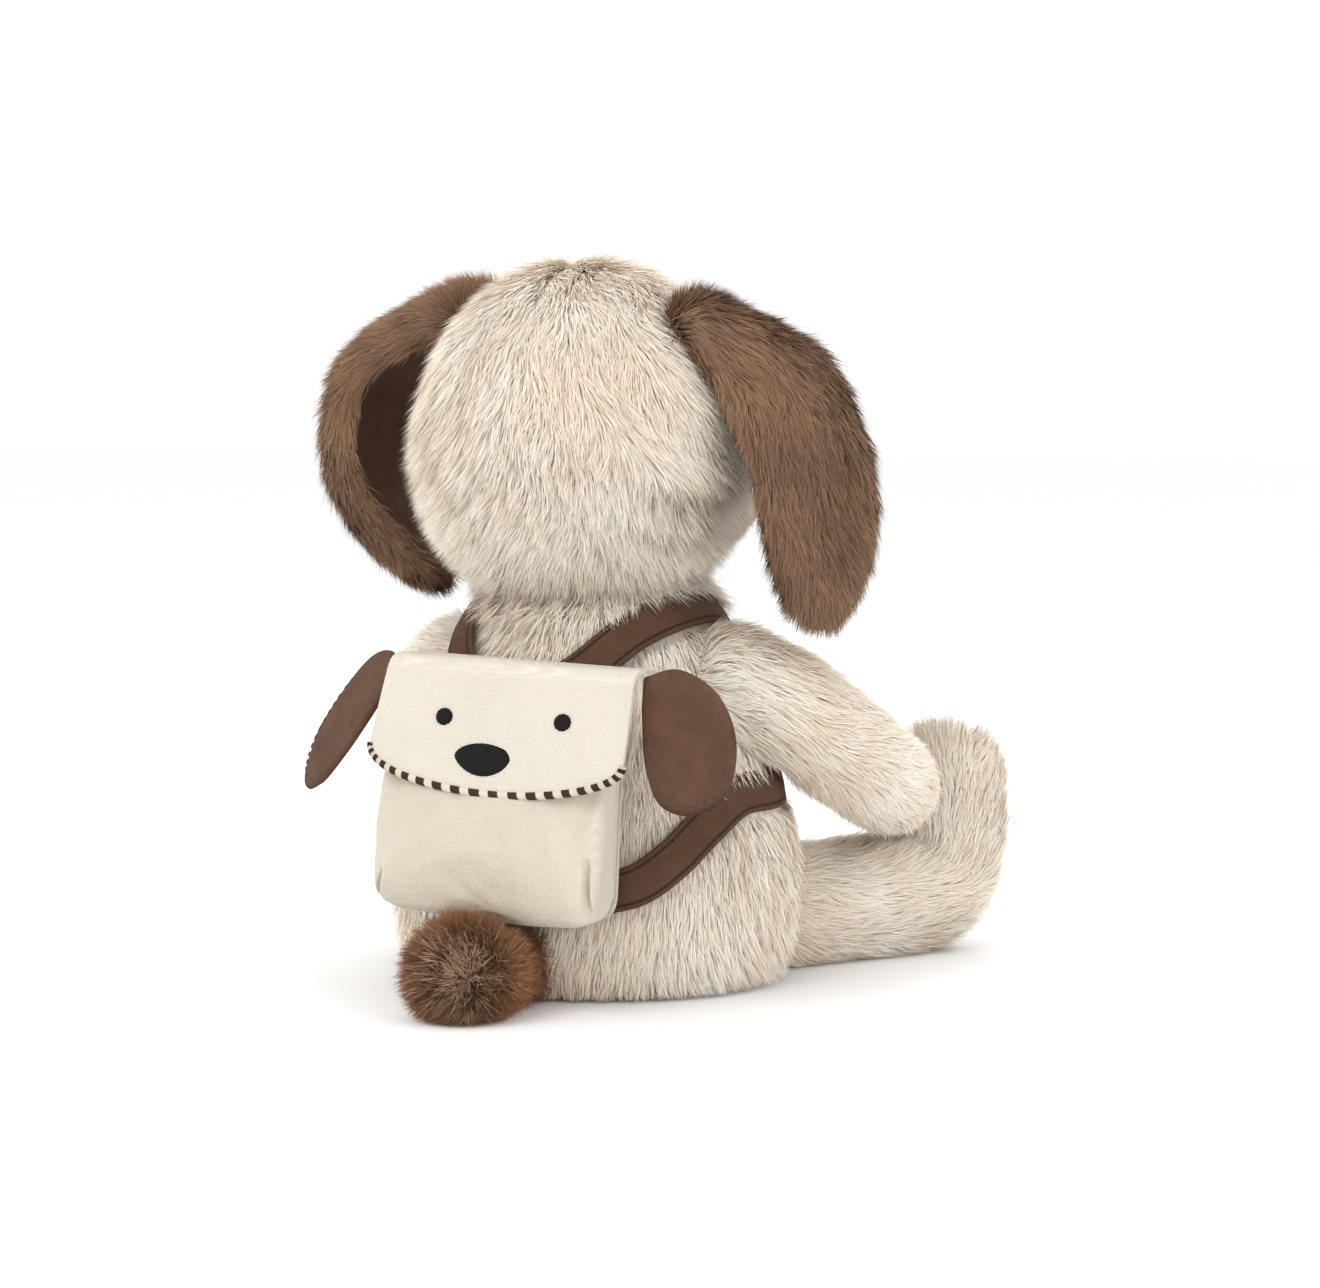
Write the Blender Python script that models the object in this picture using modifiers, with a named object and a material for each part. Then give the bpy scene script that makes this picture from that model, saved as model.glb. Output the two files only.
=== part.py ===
"""Sitting plush dog with a small flap backpack, as the sewn panels, fillings and trims it is made of.

Metres, +Z up. The dog faces -Y, its own left side is +X, and the origin is the middle of its seat
on the ground. Every shell and its filling come from one closed form, so they always nest.
"""

import math

import bmesh
import bpy
from mathutils import Matrix, Vector

# ---- driving dimensions -------------------------------------------------------------------
SKIN = 0.0012  # plush backing and its short dense pile
GAP = 0.0004  # air between touching solids
SEAM = 0.0004  # each side of a sewn seam that parts two panels

TORSO_WIDTH = 0.061  # half width at the hips
TORSO_DEPTH = 0.057  # half depth at the hips
TORSO_PROFILE = (  # radius as a share of the hip radius, height
    (0.70, 0.000),
    (0.86, 0.004),
    (0.96, 0.014),
    (1.00, 0.028),
    (0.985, 0.044),
    (0.92, 0.062),
    (0.83, 0.082),
    (0.73, 0.100),
    (0.61, 0.113),
    (0.49, 0.1225),
    (0.41, 0.131),
)
SEAT_PANEL_TOP = 0.0012
BEADS_TOP = 0.0185  # the seat's layer of weighting beads ends here
NECK_HEIGHT = 0.127
NECK_AXIS_Y = 0.006

HEAD_CENTRE = Vector((0.0, 0.008, 0.1705))
HEAD_RADII = Vector((0.0475, 0.0455, 0.0500))
MUZZLE_CENTRE = Vector((0.0, -0.043, 0.1515))
MUZZLE_RADII = Vector((0.0300, 0.0310, 0.0210))
MUZZLE_MOUTH_Y = -0.016  # where the muzzle's back is left open, inside the head
NOSE_RADII = Vector((0.0085, 0.0045, 0.0058))
EYE_SPREAD = 0.019
EYE_HEIGHT = 0.182
EYE_RADIUS = 0.0042
EYE_STEM = 0.0012
WASHER_RADIUS = 0.0045

ARM_ROUTE = (  # from the shoulder out and forward to the paw, left side
    (0.0475, 0.000, 0.0930),
    (0.0600, -0.009, 0.0865),
    (0.0680, -0.029, 0.0740),
    (0.0705, -0.050, 0.0640),
    (0.0690, -0.0675, 0.0575),
)
ARM_RADII = (0.0160, 0.0152, 0.0145, 0.0138, 0.0132)
LEG_ROUTE = (  # from the hip forward along the ground, then up the standing foot, left side
    (0.0410, -0.041, 0.0180),
    (0.0510, -0.060, 0.0180),
    (0.0640, -0.084, 0.0188),
    (0.0700, -0.0965, 0.0235),
    (0.0728, -0.1020, 0.0370),
    (0.0738, -0.1035, 0.0505),
)
LEG_RADII = (0.0170, 0.0172, 0.0178, 0.0190, 0.0185, 0.0172)
TAIL_ROUTE = ((0.0, 0.0525, 0.0128), (-0.002, 0.072, 0.0128), (-0.006, 0.090, 0.0135))
TAIL_RADII = (0.0110, 0.0115, 0.0128)
SOCKET_FLARE = 0.0042  # room round a limb's root for it to swing in

EAR_ROOT = {"left": (0.0415, 0.008, 0.2129), "right": (-0.0460, 0.008, 0.2075)}
EAR_TURN = {"left": 17.0, "right": 3.0}  # degrees the ear's plane turns forward
EAR_LENGTH = {"left": 0.131, "right": 0.109}
EAR_TWIST = {"left": 0.0, "right": 30.0}
EAR_SLOPES = {  # degrees from level, evenly spaced from the root to the tip
    "left": (-14, -29, -77, -123, -150),
    "right": (-18, -44, -68, -87, -101),
}
EAR_WIDTH = 0.036
EAR_PLUSH = 0.0070  # thickness of the furred layer
EAR_CUP = 0.0045  # how far the side edges curl towards the lining
LINING = 0.0012
LINING_GAP = 0.0008

BAG_PLACE = Vector((-0.0070, 0.0600, 0.0272))
BAG_TILT = math.radians(3.0)  # its top leans towards the dog
BAG_ROLL = math.radians(-2.0)  # its right side hangs lower
BAG_WIDTH = 0.080
BAG_HEIGHT = 0.0740
BAG_DEPTH = 0.027
BAG_MOUTH = 0.0115  # depth of the pouch at its open top
CANVAS = 0.0012
CORNER = 0.008
FLAP_STANDOFF = 0.0026  # from the pouch's front to the flap's inner face
FLAP_WIDTH = 0.085
FLAP_FOLD = 0.2  # share of the flap's rows that lie on top of the bag
FLAP_DROP = 0.0380  # down the front at the middle
FLAP_SIDE_DROP = 0.0255  # down the front at the side edges
PIPING_RADIUS = 0.0011
FACE_EYE_SPREAD = 0.0195
FACE_EYE_DROP = 0.0172
FACE_NOSE_DROP = 0.0285
STITCHED = 0.0008  # raised satin stitching
PATCH = 0.0007
PATCH_SIZE = (0.014, 0.009)
PATCH_DROP = 0.020
STRAP_WIDTH = 0.0115
STRAP_THICKNESS = 0.0014
STRAP_ROUTE = (  # angle round the torso (90 is the back), height, lift off the torso, left strap
    (70.0, 0.0940, 0.0090),
    (48.0, 0.1080, 0.0040),
    (20.0, 0.1145, 0.0016),
    (-14.0, 0.1145, 0.0016),
    (-42.0, 0.1040, 0.0016),
    (-58.0, 0.0860, 0.0016),
    (-50.0, 0.0700, 0.0016),
    (-30.0, 0.0620, 0.0016),
    (-8.0, 0.0605, 0.0016),
    (14.0, 0.0600, 0.0020),
    (30.0, 0.0520, 0.0034),
    (42.0, 0.0430, 0.0064),
    (53.0, 0.0360, 0.0110),
)

SIDES = {"left": 1.0, "right": -1.0}
COLOURS = {  # colour, roughness
    "plush_cream": ((0.74, 0.66, 0.56), 0.95),
    "plush_brown": ((0.16, 0.10, 0.07), 0.95),
    "lining_brown": ((0.09, 0.05, 0.035), 0.85),
    "canvas": ((0.86, 0.81, 0.71), 0.85),
    "cotton_brown": ((0.11, 0.065, 0.045), 0.8),
    "thread_black": ((0.02, 0.018, 0.016), 0.6),
    "thread_brown": ((0.08, 0.05, 0.04), 0.7),
    "bead_plastic": ((0.015, 0.012, 0.010), 0.15),
    "clear_nylon": ((0.75, 0.75, 0.72), 0.4),
    "fibre_fill": ((0.88, 0.87, 0.85), 1.0),
    "muslin": ((0.80, 0.76, 0.68), 0.9),
}


# ---- scene helpers ------------------------------------------------------------------------
def clear_scene():
    for obj in list(bpy.data.objects):
        bpy.data.objects.remove(obj, do_unlink=True)


def new_collection(name):
    collection = bpy.data.collections.new(name)
    bpy.context.scene.collection.children.link(collection)
    return collection


def material(name):
    found = bpy.data.materials.get(name)
    if found:
        return found
    made = bpy.data.materials.new(name)
    made.use_nodes = True
    colour, roughness = COLOURS[name]
    shader = made.node_tree.nodes["Principled BSDF"]
    shader.inputs["Base Color"].default_value = (*colour, 1.0)
    shader.inputs["Roughness"].default_value = roughness
    shader.inputs["Metallic"].default_value = 0.0
    made.diffuse_color = (*colour, 1.0)
    return made


def pivot(name, place):
    """An empty on a moving body's joint axis."""
    empty = bpy.data.objects.new(name, None)
    empty.location = place
    PARTS.objects.link(empty)
    bpy.context.view_layer.update()
    return empty


def part(name, bm, finish, parent=None):
    """A named sub-part from a bmesh that is already in world coordinates."""
    mesh = bpy.data.meshes.new(name)
    bm.to_mesh(mesh)
    bm.free()
    mesh.materials.append(material(finish))
    mesh.shade_smooth()
    obj = bpy.data.objects.new(name, mesh)
    PARTS.objects.link(obj)
    if parent:
        obj.parent = parent
        obj.matrix_parent_inverse = parent.matrix_world.inverted()
    return obj


def cutter(name, bm):
    mesh = bpy.data.meshes.new(name)
    bm.to_mesh(mesh)
    bm.free()
    obj = bpy.data.objects.new(name, mesh)
    obj.hide_render = True
    obj.display_type = "WIRE"
    CUTTERS.objects.link(obj)
    return obj


def boolean(obj, tool, operation="DIFFERENCE"):
    modifier = obj.modifiers.new(tool.name, "BOOLEAN")
    modifier.operation = operation
    modifier.solver = "EXACT"
    modifier.object = tool


def thicken(obj, thickness, offset=-1.0):
    modifier = obj.modifiers.new("thickness", "SOLIDIFY")
    modifier.thickness = thickness
    modifier.offset = offset


# ---- forms --------------------------------------------------------------------------------
def ellipsoid(centre, radii, segments=20, rings=11):
    bm = bmesh.new()
    bmesh.ops.create_uvsphere(bm, u_segments=segments, v_segments=rings, radius=1.0)
    bmesh.ops.transform(bm, matrix=Matrix.Diagonal((*radii, 1.0)), verts=bm.verts)
    bmesh.ops.translate(bm, vec=centre, verts=bm.verts)
    bm.normal_update()
    return bm


def cylinder(start, end, radius, segments=16):
    axis = end - start
    bm = bmesh.new()
    bmesh.ops.create_cone(
        bm, cap_ends=True, segments=segments, radius1=radius, radius2=radius, depth=axis.length
    )
    turn = axis.to_track_quat("Z", "Y").to_matrix().to_4x4()
    bmesh.ops.transform(bm, matrix=Matrix.Translation((start + end) / 2) @ turn, verts=bm.verts)
    return bm


def spline(points, steps):
    """Points on a smooth curve through the given ones, any number of values each."""
    ends = [
        [2 * a - b for a, b in zip(points[0], points[1])],
        [2 * a - b for a, b in zip(points[-1], points[-2])],
    ]
    row = [ends[0], *points, ends[1]]
    smooth = []
    for i in range(len(points) - 1):
        p0, p1, p2, p3 = row[i : i + 4]
        for step in range(steps):
            t = step / steps
            smooth.append(
                [
                    b + 0.5 * t * (c - a + t * (2 * a - 5 * b + 4 * c - d + t * (3 * (b - c) + d - a)))
                    for a, b, c, d in zip(p0, p1, p2, p3)
                ]
            )
    smooth.append(list(points[-1]))
    return smooth


def sausage(route, radii, side=1.0, sides=12, steps=2):
    """A closed stuffed tube along a route, with round ends, its first end a ball on the pivot."""
    rows = spline([(*p, r) for p, r in zip(route, radii)], steps)
    rows = [(Vector((side * x, y, z)), r) for x, y, z, r in rows]
    rows = round_end(rows[::-1])[::-1]
    rows = round_end(rows)
    curve = bpy.data.curves.new("sausage", "CURVE")
    curve.dimensions = "3D"
    curve.bevel_depth = 1.0
    curve.bevel_resolution = (sides - 4) // 2
    curve.use_fill_caps = True
    line = curve.splines.new("POLY")
    line.points.add(len(rows) - 1)
    for point, (place, radius) in zip(line.points, rows):
        point.co = (*place, 1.0)
        point.radius = radius
    holder = bpy.data.objects.new("sausage", curve)
    bpy.context.scene.collection.objects.link(holder)
    bpy.context.view_layer.update()
    mesh = bpy.data.meshes.new_from_object(holder.evaluated_get(bpy.context.evaluated_depsgraph_get()))
    bm = bmesh.new()
    bm.from_mesh(mesh)
    bmesh.ops.remove_doubles(bm, verts=bm.verts, dist=0.00002)
    bmesh.ops.recalc_face_normals(bm, faces=bm.faces)
    bpy.data.objects.remove(holder)
    bpy.data.meshes.remove(mesh)
    return bm


def round_end(rows):
    """Adds a half ball past the last row, in steps of the angle round it."""
    (before, _), (last, radius) = rows[-2:]
    ahead = (last - before).normalized()
    cap = []
    for degrees in (32, 60, 82):
        angle = math.radians(degrees)
        cap.append((last + ahead * radius * math.sin(angle), radius * math.cos(angle)))
    return rows + cap


def torso_radius(height):
    """The torso's radius at a height, as a share of the hip radius."""
    rows = spline(TORSO_PROFILE, 6)
    for (low, z0), (high, z1) in zip(rows, rows[1:]):
        if z0 <= height <= z1:
            return low + (high - low) * (height - z0) / (z1 - z0)
    return rows[-1][0]


def torso_point(angle, height, lift=0.0):
    """A point on the torso, and the way out of it there."""
    share = torso_radius(height)
    slope = (torso_radius(height + 0.002) - torso_radius(height - 0.002)) / 0.004
    across = Vector((math.cos(angle) / TORSO_WIDTH, math.sin(angle) / TORSO_DEPTH, 0.0))
    normal = Vector((across.x, across.y, -slope)).normalized()
    place = Vector((share * TORSO_WIDTH * math.cos(angle), share * TORSO_DEPTH * math.sin(angle), height))
    return place + normal * lift, normal


def torso_form():
    """The pear of the body, turned from its profile and closed at the top and the seat."""
    bm = bmesh.new()
    rows = [(0.0, 0.0), *TORSO_PROFILE, (0.0, TORSO_PROFILE[-1][1])]
    verts = [bm.verts.new((share * TORSO_WIDTH, 0.0, height)) for share, height in rows]
    edges = [bm.edges.new(pair) for pair in zip(verts, verts[1:])]
    bmesh.ops.spin(
        bm,
        geom=verts + edges,
        cent=(0.0, 0.0, 0.0),
        axis=(0.0, 0.0, 1.0),
        angle=2 * math.pi,
        steps=24,
        use_merge=True,
        use_duplicate=False,
    )
    bmesh.ops.remove_doubles(bm, verts=bm.verts, dist=0.00002)
    bmesh.ops.scale(bm, vec=(1.0, TORSO_DEPTH / TORSO_WIDTH, 1.0), verts=bm.verts)
    bmesh.ops.recalc_face_normals(bm, faces=bm.faces)
    return bm


def inset(bm, distance):
    """Moves a closed form's surface inwards, or outwards for a negative distance."""
    bm.normal_update()
    for vert, normal in [(v, v.normal.copy()) for v in bm.verts]:
        vert.co -= normal * distance
    return bm


def cut(bm, place, normal, fill):
    """Takes away what is on the normal's side of a plane."""
    result = bmesh.ops.bisect_plane(
        bm,
        geom=[*bm.verts, *bm.edges, *bm.faces],
        plane_co=place,
        plane_no=normal,
        dist=0.000002,
        clear_outer=True,
    )
    if fill:
        edges = [e for e in result["geom_cut"] if isinstance(e, bmesh.types.BMEdge)]
        bmesh.ops.holes_fill(bm, edges=edges, sides=0)
    return bm


def shell(name, form, cuts, finish, parent=None, thickness=SKIN):
    """A sewn skin: the form's surface, open at each cut, with its thickness inwards."""
    for place, normal in cuts:
        cut(form, place, normal, fill=False)
    obj = part(name, form, finish, parent)
    thicken(obj, thickness)
    return obj


def filling(name, form, cuts, finish, parent=None, clearance=SKIN + GAP):
    """What a skin holds: the same form, smaller all round, closed flat at each cut."""
    inset(form, clearance)
    for place, normal in cuts:
        cut(form, place, normal, fill=True)
    return part(name, form, finish, parent)


# ---- torso --------------------------------------------------------------------------------
def make_torso():
    open_neck = (Vector((0, 0, NECK_HEIGHT - GAP)), Vector((0, 0, 1)))
    open_seat = (Vector((0, 0, SEAT_PANEL_TOP + GAP)), Vector((0, 0, -1)))
    sockets = []
    for side, sign in SIDES.items():
        sockets += limb_sockets(f"arm_{side}", ARM_ROUTE, ARM_RADII, sign)
        sockets += limb_sockets(f"leg_{side}", LEG_ROUTE, LEG_RADII, sign)
    sockets += limb_sockets("tail", TAIL_ROUTE, TAIL_RADII, 1.0)
    for side, sign in SIDES.items():
        seam = (Vector((sign * SEAM, 0, 0)), Vector((-sign, 0, 0)))
        skin = shell(f"torso_skin_{side}", torso_form(), [open_neck, open_seat, seam], "plush_cream")
        for socket in sockets:
            if side in socket.name or "tail" in socket.name:
                boolean(skin, socket)
    above_beads = (Vector((0, 0, BEADS_TOP + GAP)), Vector((0, 0, -1)))
    below_neck = (Vector((0, 0, NECK_HEIGHT - 2 * GAP)), Vector((0, 0, 1)))
    stuffing = filling("torso_stuffing", torso_form(), [above_beads, below_neck], "fibre_fill")
    beads = filling(
        "bead_pouch",
        torso_form(),
        [
            (Vector((0, 0, BEADS_TOP)), Vector((0, 0, 1))),
            (Vector((0, 0, SEAT_PANEL_TOP + GAP)), Vector((0, 0, -1))),
        ],
        "muslin",
        clearance=SKIN + 2 * GAP,
    )
    for socket in sockets:
        boolean(stuffing, socket)
        if "arm" not in socket.name:
            boolean(beads, socket)
    make_seat_panel()


def limb_sockets(name, route, radii, sign):
    """The room a limb's round root sits in, and the wider room just outside it."""
    root, ahead = (Vector((sign * p[0], p[1], p[2])) for p in route[:2])
    way = (ahead - root).normalized()
    close = Vector((radii[0] + GAP,) * 3)
    wide = Vector((radii[0] + SOCKET_FLARE,) * 3)
    return [
        cutter(f"socket_{name}", ellipsoid(root, close, segments=16, rings=10)),
        cutter(f"flare_{name}", ellipsoid(root + way * 0.62 * radii[0], wide, segments=16, rings=10)),
    ]


def make_seat_panel():
    bm = bmesh.new()
    bmesh.ops.create_cone(
        bm, cap_ends=True, segments=24, radius1=1.0, radius2=1.0, depth=SEAT_PANEL_TOP
    )
    share = TORSO_PROFILE[0][0]
    size = Matrix.Diagonal((share * TORSO_WIDTH, share * TORSO_DEPTH, 1.0, 1.0))
    lift = Matrix.Translation((0, 0, SEAT_PANEL_TOP / 2))
    bmesh.ops.transform(bm, matrix=lift @ size, verts=bm.verts)
    part("seat_panel", bm, "plush_cream")


# ---- head ---------------------------------------------------------------------------------
def head_form():
    return ellipsoid(HEAD_CENTRE, HEAD_RADII)


def muzzle_form():
    return ellipsoid(MUZZLE_CENTRE, MUZZLE_RADII, segments=18, rings=10)


def head_surface(x, z):
    """The face's point at x and z, and the way out of it there."""
    across = (x - HEAD_CENTRE.x) / HEAD_RADII.x
    up = (z - HEAD_CENTRE.z) / HEAD_RADII.z
    y = HEAD_CENTRE.y - HEAD_RADII.y * math.sqrt(1 - across**2 - up**2)
    place = Vector((x, y, z))
    from_centre = place - HEAD_CENTRE
    normal = Vector(a / r**2 for a, r in zip(from_centre, HEAD_RADII)).normalized()
    return place, normal


def make_head(neck):
    open_neck = (Vector((0, 0, NECK_HEIGHT + GAP)), Vector((0, 0, -1)))
    muzzle_room = cutter("muzzle_room", inset(muzzle_form(), -GAP))
    skins = {}
    for side, sign in SIDES.items():
        seam = (Vector((sign * SEAM, 0, 0)), Vector((-sign, 0, 0)))
        skins[side] = shell(f"head_skin_{side}", head_form(), [open_neck, seam], "plush_cream", neck)
        boolean(skins[side], muzzle_room)
    above_neck = (Vector((0, 0, NECK_HEIGHT + 2 * GAP)), Vector((0, 0, -1)))
    stuffing = filling("head_stuffing", head_form(), [above_neck], "fibre_fill", neck)
    boolean(stuffing, muzzle_room)
    open_back = (Vector((0, MUZZLE_MOUTH_Y, 0)), Vector((0, 1, 0)))
    shell("muzzle_skin", muzzle_form(), [open_back], "plush_cream", neck)
    filled_back = (Vector((0, MUZZLE_MOUTH_Y - GAP, 0)), Vector((0, 1, 0)))
    filling("muzzle_stuffing", muzzle_form(), [filled_back], "fibre_fill", neck)
    for side, sign in SIDES.items():
        make_eye(side, sign, skins[side], stuffing, neck)
    make_nose(neck, muzzle_room)
    make_mouth(neck)


def make_eye(side, sign, skin, stuffing, neck):
    """A bead eye whose stem passes the skin into a washer behind it."""
    place, out = head_surface(sign * EYE_SPREAD, EYE_HEIGHT)
    bead = part(
        f"eye_{side}",
        ellipsoid(place + out * 0.0012, Vector((EYE_RADIUS,) * 3), segments=14, rings=10),
        "bead_plastic",
        neck,
    )
    face = cutter(f"face_{side}", inset(head_form(), -GAP))
    boolean(bead, face)
    stem_end = place - out * 0.0058
    stem = cutter(f"stem_{side}", cylinder(place + out * 0.002, stem_end, EYE_STEM, 10))
    boolean(bead, stem, "UNION")
    hole = cutter(f"stem_hole_{side}", cylinder(place + out * 0.002, stem_end, EYE_STEM + GAP, 10))
    boolean(skin, hole)
    pocket_end = place - out * 0.0066
    pocket = cutter(
        f"washer_pocket_{side}", cylinder(place + out * 0.002, pocket_end, WASHER_RADIUS + GAP)
    )
    boolean(stuffing, pocket)
    washer = part(
        f"eye_washer_{side}",
        cylinder(place - out * 0.0032, place - out * 0.0044, WASHER_RADIUS),
        "clear_nylon",
        neck,
    )
    boolean(washer, hole)


def make_nose(neck, muzzle_room):
    at = MUZZLE_CENTRE + Vector((0.0, -MUZZLE_RADII.y * 0.985, MUZZLE_RADII.z * 0.22))
    nose = part("nose", ellipsoid(at, NOSE_RADII, segments=16, rings=10), "thread_black", neck)
    boolean(nose, muzzle_room)


def make_mouth(neck):
    """One line of thread down from the nose and along a shallow smile, just off the muzzle."""
    radius = 0.0005
    grown = MUZZLE_RADII + Vector((radius + GAP + 0.0002,) * 3)
    rows = []
    for step in range(13):
        across = (step / 12 - 0.5) * 2
        x = across * 0.40
        z = -0.42 + 0.16 * across**2
        y = -math.sqrt(1 - x**2 - z**2)
        rows.append(((MUZZLE_CENTRE + Vector((x * grown.x, y * grown.y, z * grown.z)))[:], radius))
    part("mouth_stitching", thread(rows), "thread_brown", neck)


def thread(rows, sides=6):
    """A thin round cord through rows of place and radius, with flat ends."""
    curve = bpy.data.curves.new("thread", "CURVE")
    curve.dimensions = "3D"
    curve.bevel_depth = 1.0
    curve.bevel_resolution = (sides - 4) // 2
    curve.use_fill_caps = True
    line = curve.splines.new("POLY")
    line.points.add(len(rows) - 1)
    for point, (place, radius) in zip(line.points, rows):
        point.co = (*place, 1.0)
        point.radius = radius
    holder = bpy.data.objects.new("thread", curve)
    bpy.context.scene.collection.objects.link(holder)
    bpy.context.view_layer.update()
    mesh = bpy.data.meshes.new_from_object(holder.evaluated_get(bpy.context.evaluated_depsgraph_get()))
    bm = bmesh.new()
    bm.from_mesh(mesh)
    bmesh.ops.remove_doubles(bm, verts=bm.verts, dist=0.00001)
    bmesh.ops.recalc_face_normals(bm, faces=bm.faces)
    bpy.data.objects.remove(holder)
    bpy.data.meshes.remove(mesh)
    return bm


# ---- ears ---------------------------------------------------------------------------------
def ear_line(side, share):
    """The ear's middle line at a share of its length: place, way along it and way out of it."""
    turn = math.radians(EAR_TURN[side])
    outward = Vector((SIDES[side] * math.cos(turn), -math.sin(turn), 0.0))
    up = Vector((0.0, 0.0, 1.0))
    place = Vector(EAR_ROOT[side])
    steps = max(1, round(share * 48))
    for step in range(steps):
        slope = ear_slope(side, share * (step + 0.5) / steps)
        way = outward * math.cos(slope) + up * math.sin(slope)
        place += way * EAR_LENGTH[side] * share / steps
    slope = ear_slope(side, share)
    along = outward * math.cos(slope) + up * math.sin(slope)
    out = up * math.cos(slope) - outward * math.sin(slope)
    return place, along, out


def ear_slope(side, share):
    rows = spline([(a,) for a in EAR_SLOPES[side]], 6)
    at = min(share, 1.0) * (len(rows) - 1)
    low = min(int(at), len(rows) - 2)
    return math.radians(rows[low][0] + (rows[low + 1][0] - rows[low][0]) * (at - low))


def ear_half_width(share):
    """Narrow at the root, widest past the middle, round at the tip."""
    root = min(1.0, 0.58 + 0.75 * share)
    tip = max(0.0, (share - 0.60) / 0.42)
    return EAR_WIDTH / 2 * root * math.sqrt(1 - tip**2)


def ear_surface(side, depth):
    """The ear's outer face as an open sheet, moved towards the head by depth."""
    turn = math.radians(EAR_TURN[side])
    backward = Vector((SIDES[side] * math.sin(turn), math.cos(turn), 0.0))
    bm = bmesh.new()
    bmesh.ops.create_grid(bm, x_segments=12, y_segments=6, size=1.0)
    for vert in bm.verts:
        share = (vert.co.x + 1) / 2
        across = vert.co.y
        place, _, out = ear_line(side, share)
        twist = math.radians(EAR_TWIST[side]) * min(1.0, share / 0.25)
        width = backward * math.cos(twist) - out * math.sin(twist)
        crown = out * math.cos(twist) + backward * math.sin(twist)
        vert.co = place + width * across * ear_half_width(share) - crown * EAR_CUP * across**2
    bmesh.ops.recalc_face_normals(bm, faces=bm.faces)
    bm.faces.ensure_lookup_table()
    middle = min(bm.faces, key=lambda f: (f.calc_center_median() - ear_line(side, 0.5)[0]).length)
    if middle.normal.dot(ear_line(side, 0.5)[2]) < 0:
        bmesh.ops.reverse_faces(bm, faces=bm.faces)
    return inset(bm, depth)


def make_ear(side, root):
    plush = part(f"ear_plush_{side}", ear_surface(side, 0.0), "plush_brown", root)
    thicken(plush, EAR_PLUSH)
    lining = part(f"ear_lining_{side}", ear_surface(side, EAR_PLUSH + LINING_GAP), "lining_brown", root)
    thicken(lining, LINING)


# ---- limbs --------------------------------------------------------------------------------
def root_of(route, sign):
    return Vector((sign * route[0][0], route[0][1], route[0][2]))


def make_limb(name, route, radii, side, finish, root, sides=12, steps=2):
    """A stuffed tube: its skin is left open at the round root, as the gap it is filled through."""
    sign = SIDES.get(side, 1.0)
    first, second = (Vector((sign * p[0], p[1], p[2])) for p in route[:2])
    back = (first - second).normalized()
    mouth = first + back * radii[0] * 0.72
    suffix = f"_{side}" if side in SIDES else ""
    shell(
        f"{name}_skin{suffix}",
        sausage(route, radii, sign, sides, steps),
        [(mouth, back)],
        finish,
        root,
    )
    filling(
        f"{name}_stuffing{suffix}",
        sausage(route, radii, sign, sides, steps),
        [(mouth - back * GAP, back)],
        "fibre_fill",
        root,
    )


# ---- backpack -----------------------------------------------------------------------------
def bag_matrix():
    turn = Matrix.Rotation(BAG_ROLL, 4, "Y") @ Matrix.Rotation(BAG_TILT, 4, "X")
    return Matrix.Translation(BAG_PLACE) @ turn


def front_direction():
    """Down the pouch's slanting front, and out of it, in the bag's own frame."""
    down = Vector((0.0, BAG_DEPTH - BAG_MOUTH, -BAG_HEIGHT)).normalized()
    return down, Vector((0.0, -down.z, down.y))


def make_pouch():
    """Front, sides and bottom in one wedge: shallow at the mouth, deep at the bottom."""
    bm = bmesh.new()
    bmesh.ops.create_cube(bm, size=1.0)
    bmesh.ops.scale(bm, vec=(BAG_WIDTH, BAG_DEPTH, BAG_HEIGHT), verts=bm.verts)
    bmesh.ops.translate(bm, vec=(0, BAG_DEPTH / 2, BAG_HEIGHT / 2), verts=bm.verts)
    for vert in bm.verts:
        if vert.co.y > 0.001 and vert.co.z > 0.001:
            vert.co.y = BAG_MOUTH
    open_faces = [f for f in bm.faces if f.normal.z > 0.9 or f.normal.y < -0.9]
    bmesh.ops.delete(bm, geom=open_faces, context="FACES_ONLY")
    folds = [e for e in bm.edges if len(e.link_faces) == 2]
    bmesh.ops.bevel(
        bm,
        geom=folds,
        offset=CORNER,
        offset_type="OFFSET",
        segments=3,
        profile=0.5,
        affect="EDGES",
        material=-1,
    )
    bmesh.ops.transform(bm, matrix=bag_matrix(), verts=bm.verts)
    pouch = part("backpack_pouch", bm, "canvas")
    thicken(pouch, CANVAS)


def make_back_panel():
    bm = bmesh.new()
    bmesh.ops.create_cube(bm, size=1.0)
    bmesh.ops.scale(bm, vec=(BAG_WIDTH, CANVAS, BAG_HEIGHT), verts=bm.verts)
    bmesh.ops.translate(bm, vec=(0, -GAP - CANVAS / 2, BAG_HEIGHT / 2), verts=bm.verts)
    corners = [
        e
        for e in bm.edges
        if all(v.co.z < 0.001 for v in e.verts) and abs(e.verts[0].co.x - e.verts[1].co.x) < 0.001
    ]
    bmesh.ops.bevel(
        bm, geom=corners, offset=CORNER, segments=3, profile=0.5, affect="EDGES", material=-1
    )
    bmesh.ops.transform(bm, matrix=bag_matrix(), verts=bm.verts)
    part("backpack_back_panel", bm, "canvas")


def flap_point(across, along):
    """A point on the flap's inner face: across is -1 to 1, along is metres from the hinge."""
    down, out = front_direction()
    top_z = BAG_HEIGHT + 0.0008
    turn_y = BAG_MOUTH + FLAP_STANDOFF
    if along <= turn_y:
        place = Vector((0.0, along, top_z))
    else:
        place = Vector((0.0, turn_y, top_z)) + down * (along - turn_y)
    place.x = across * FLAP_WIDTH / 2
    return place, out


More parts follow.
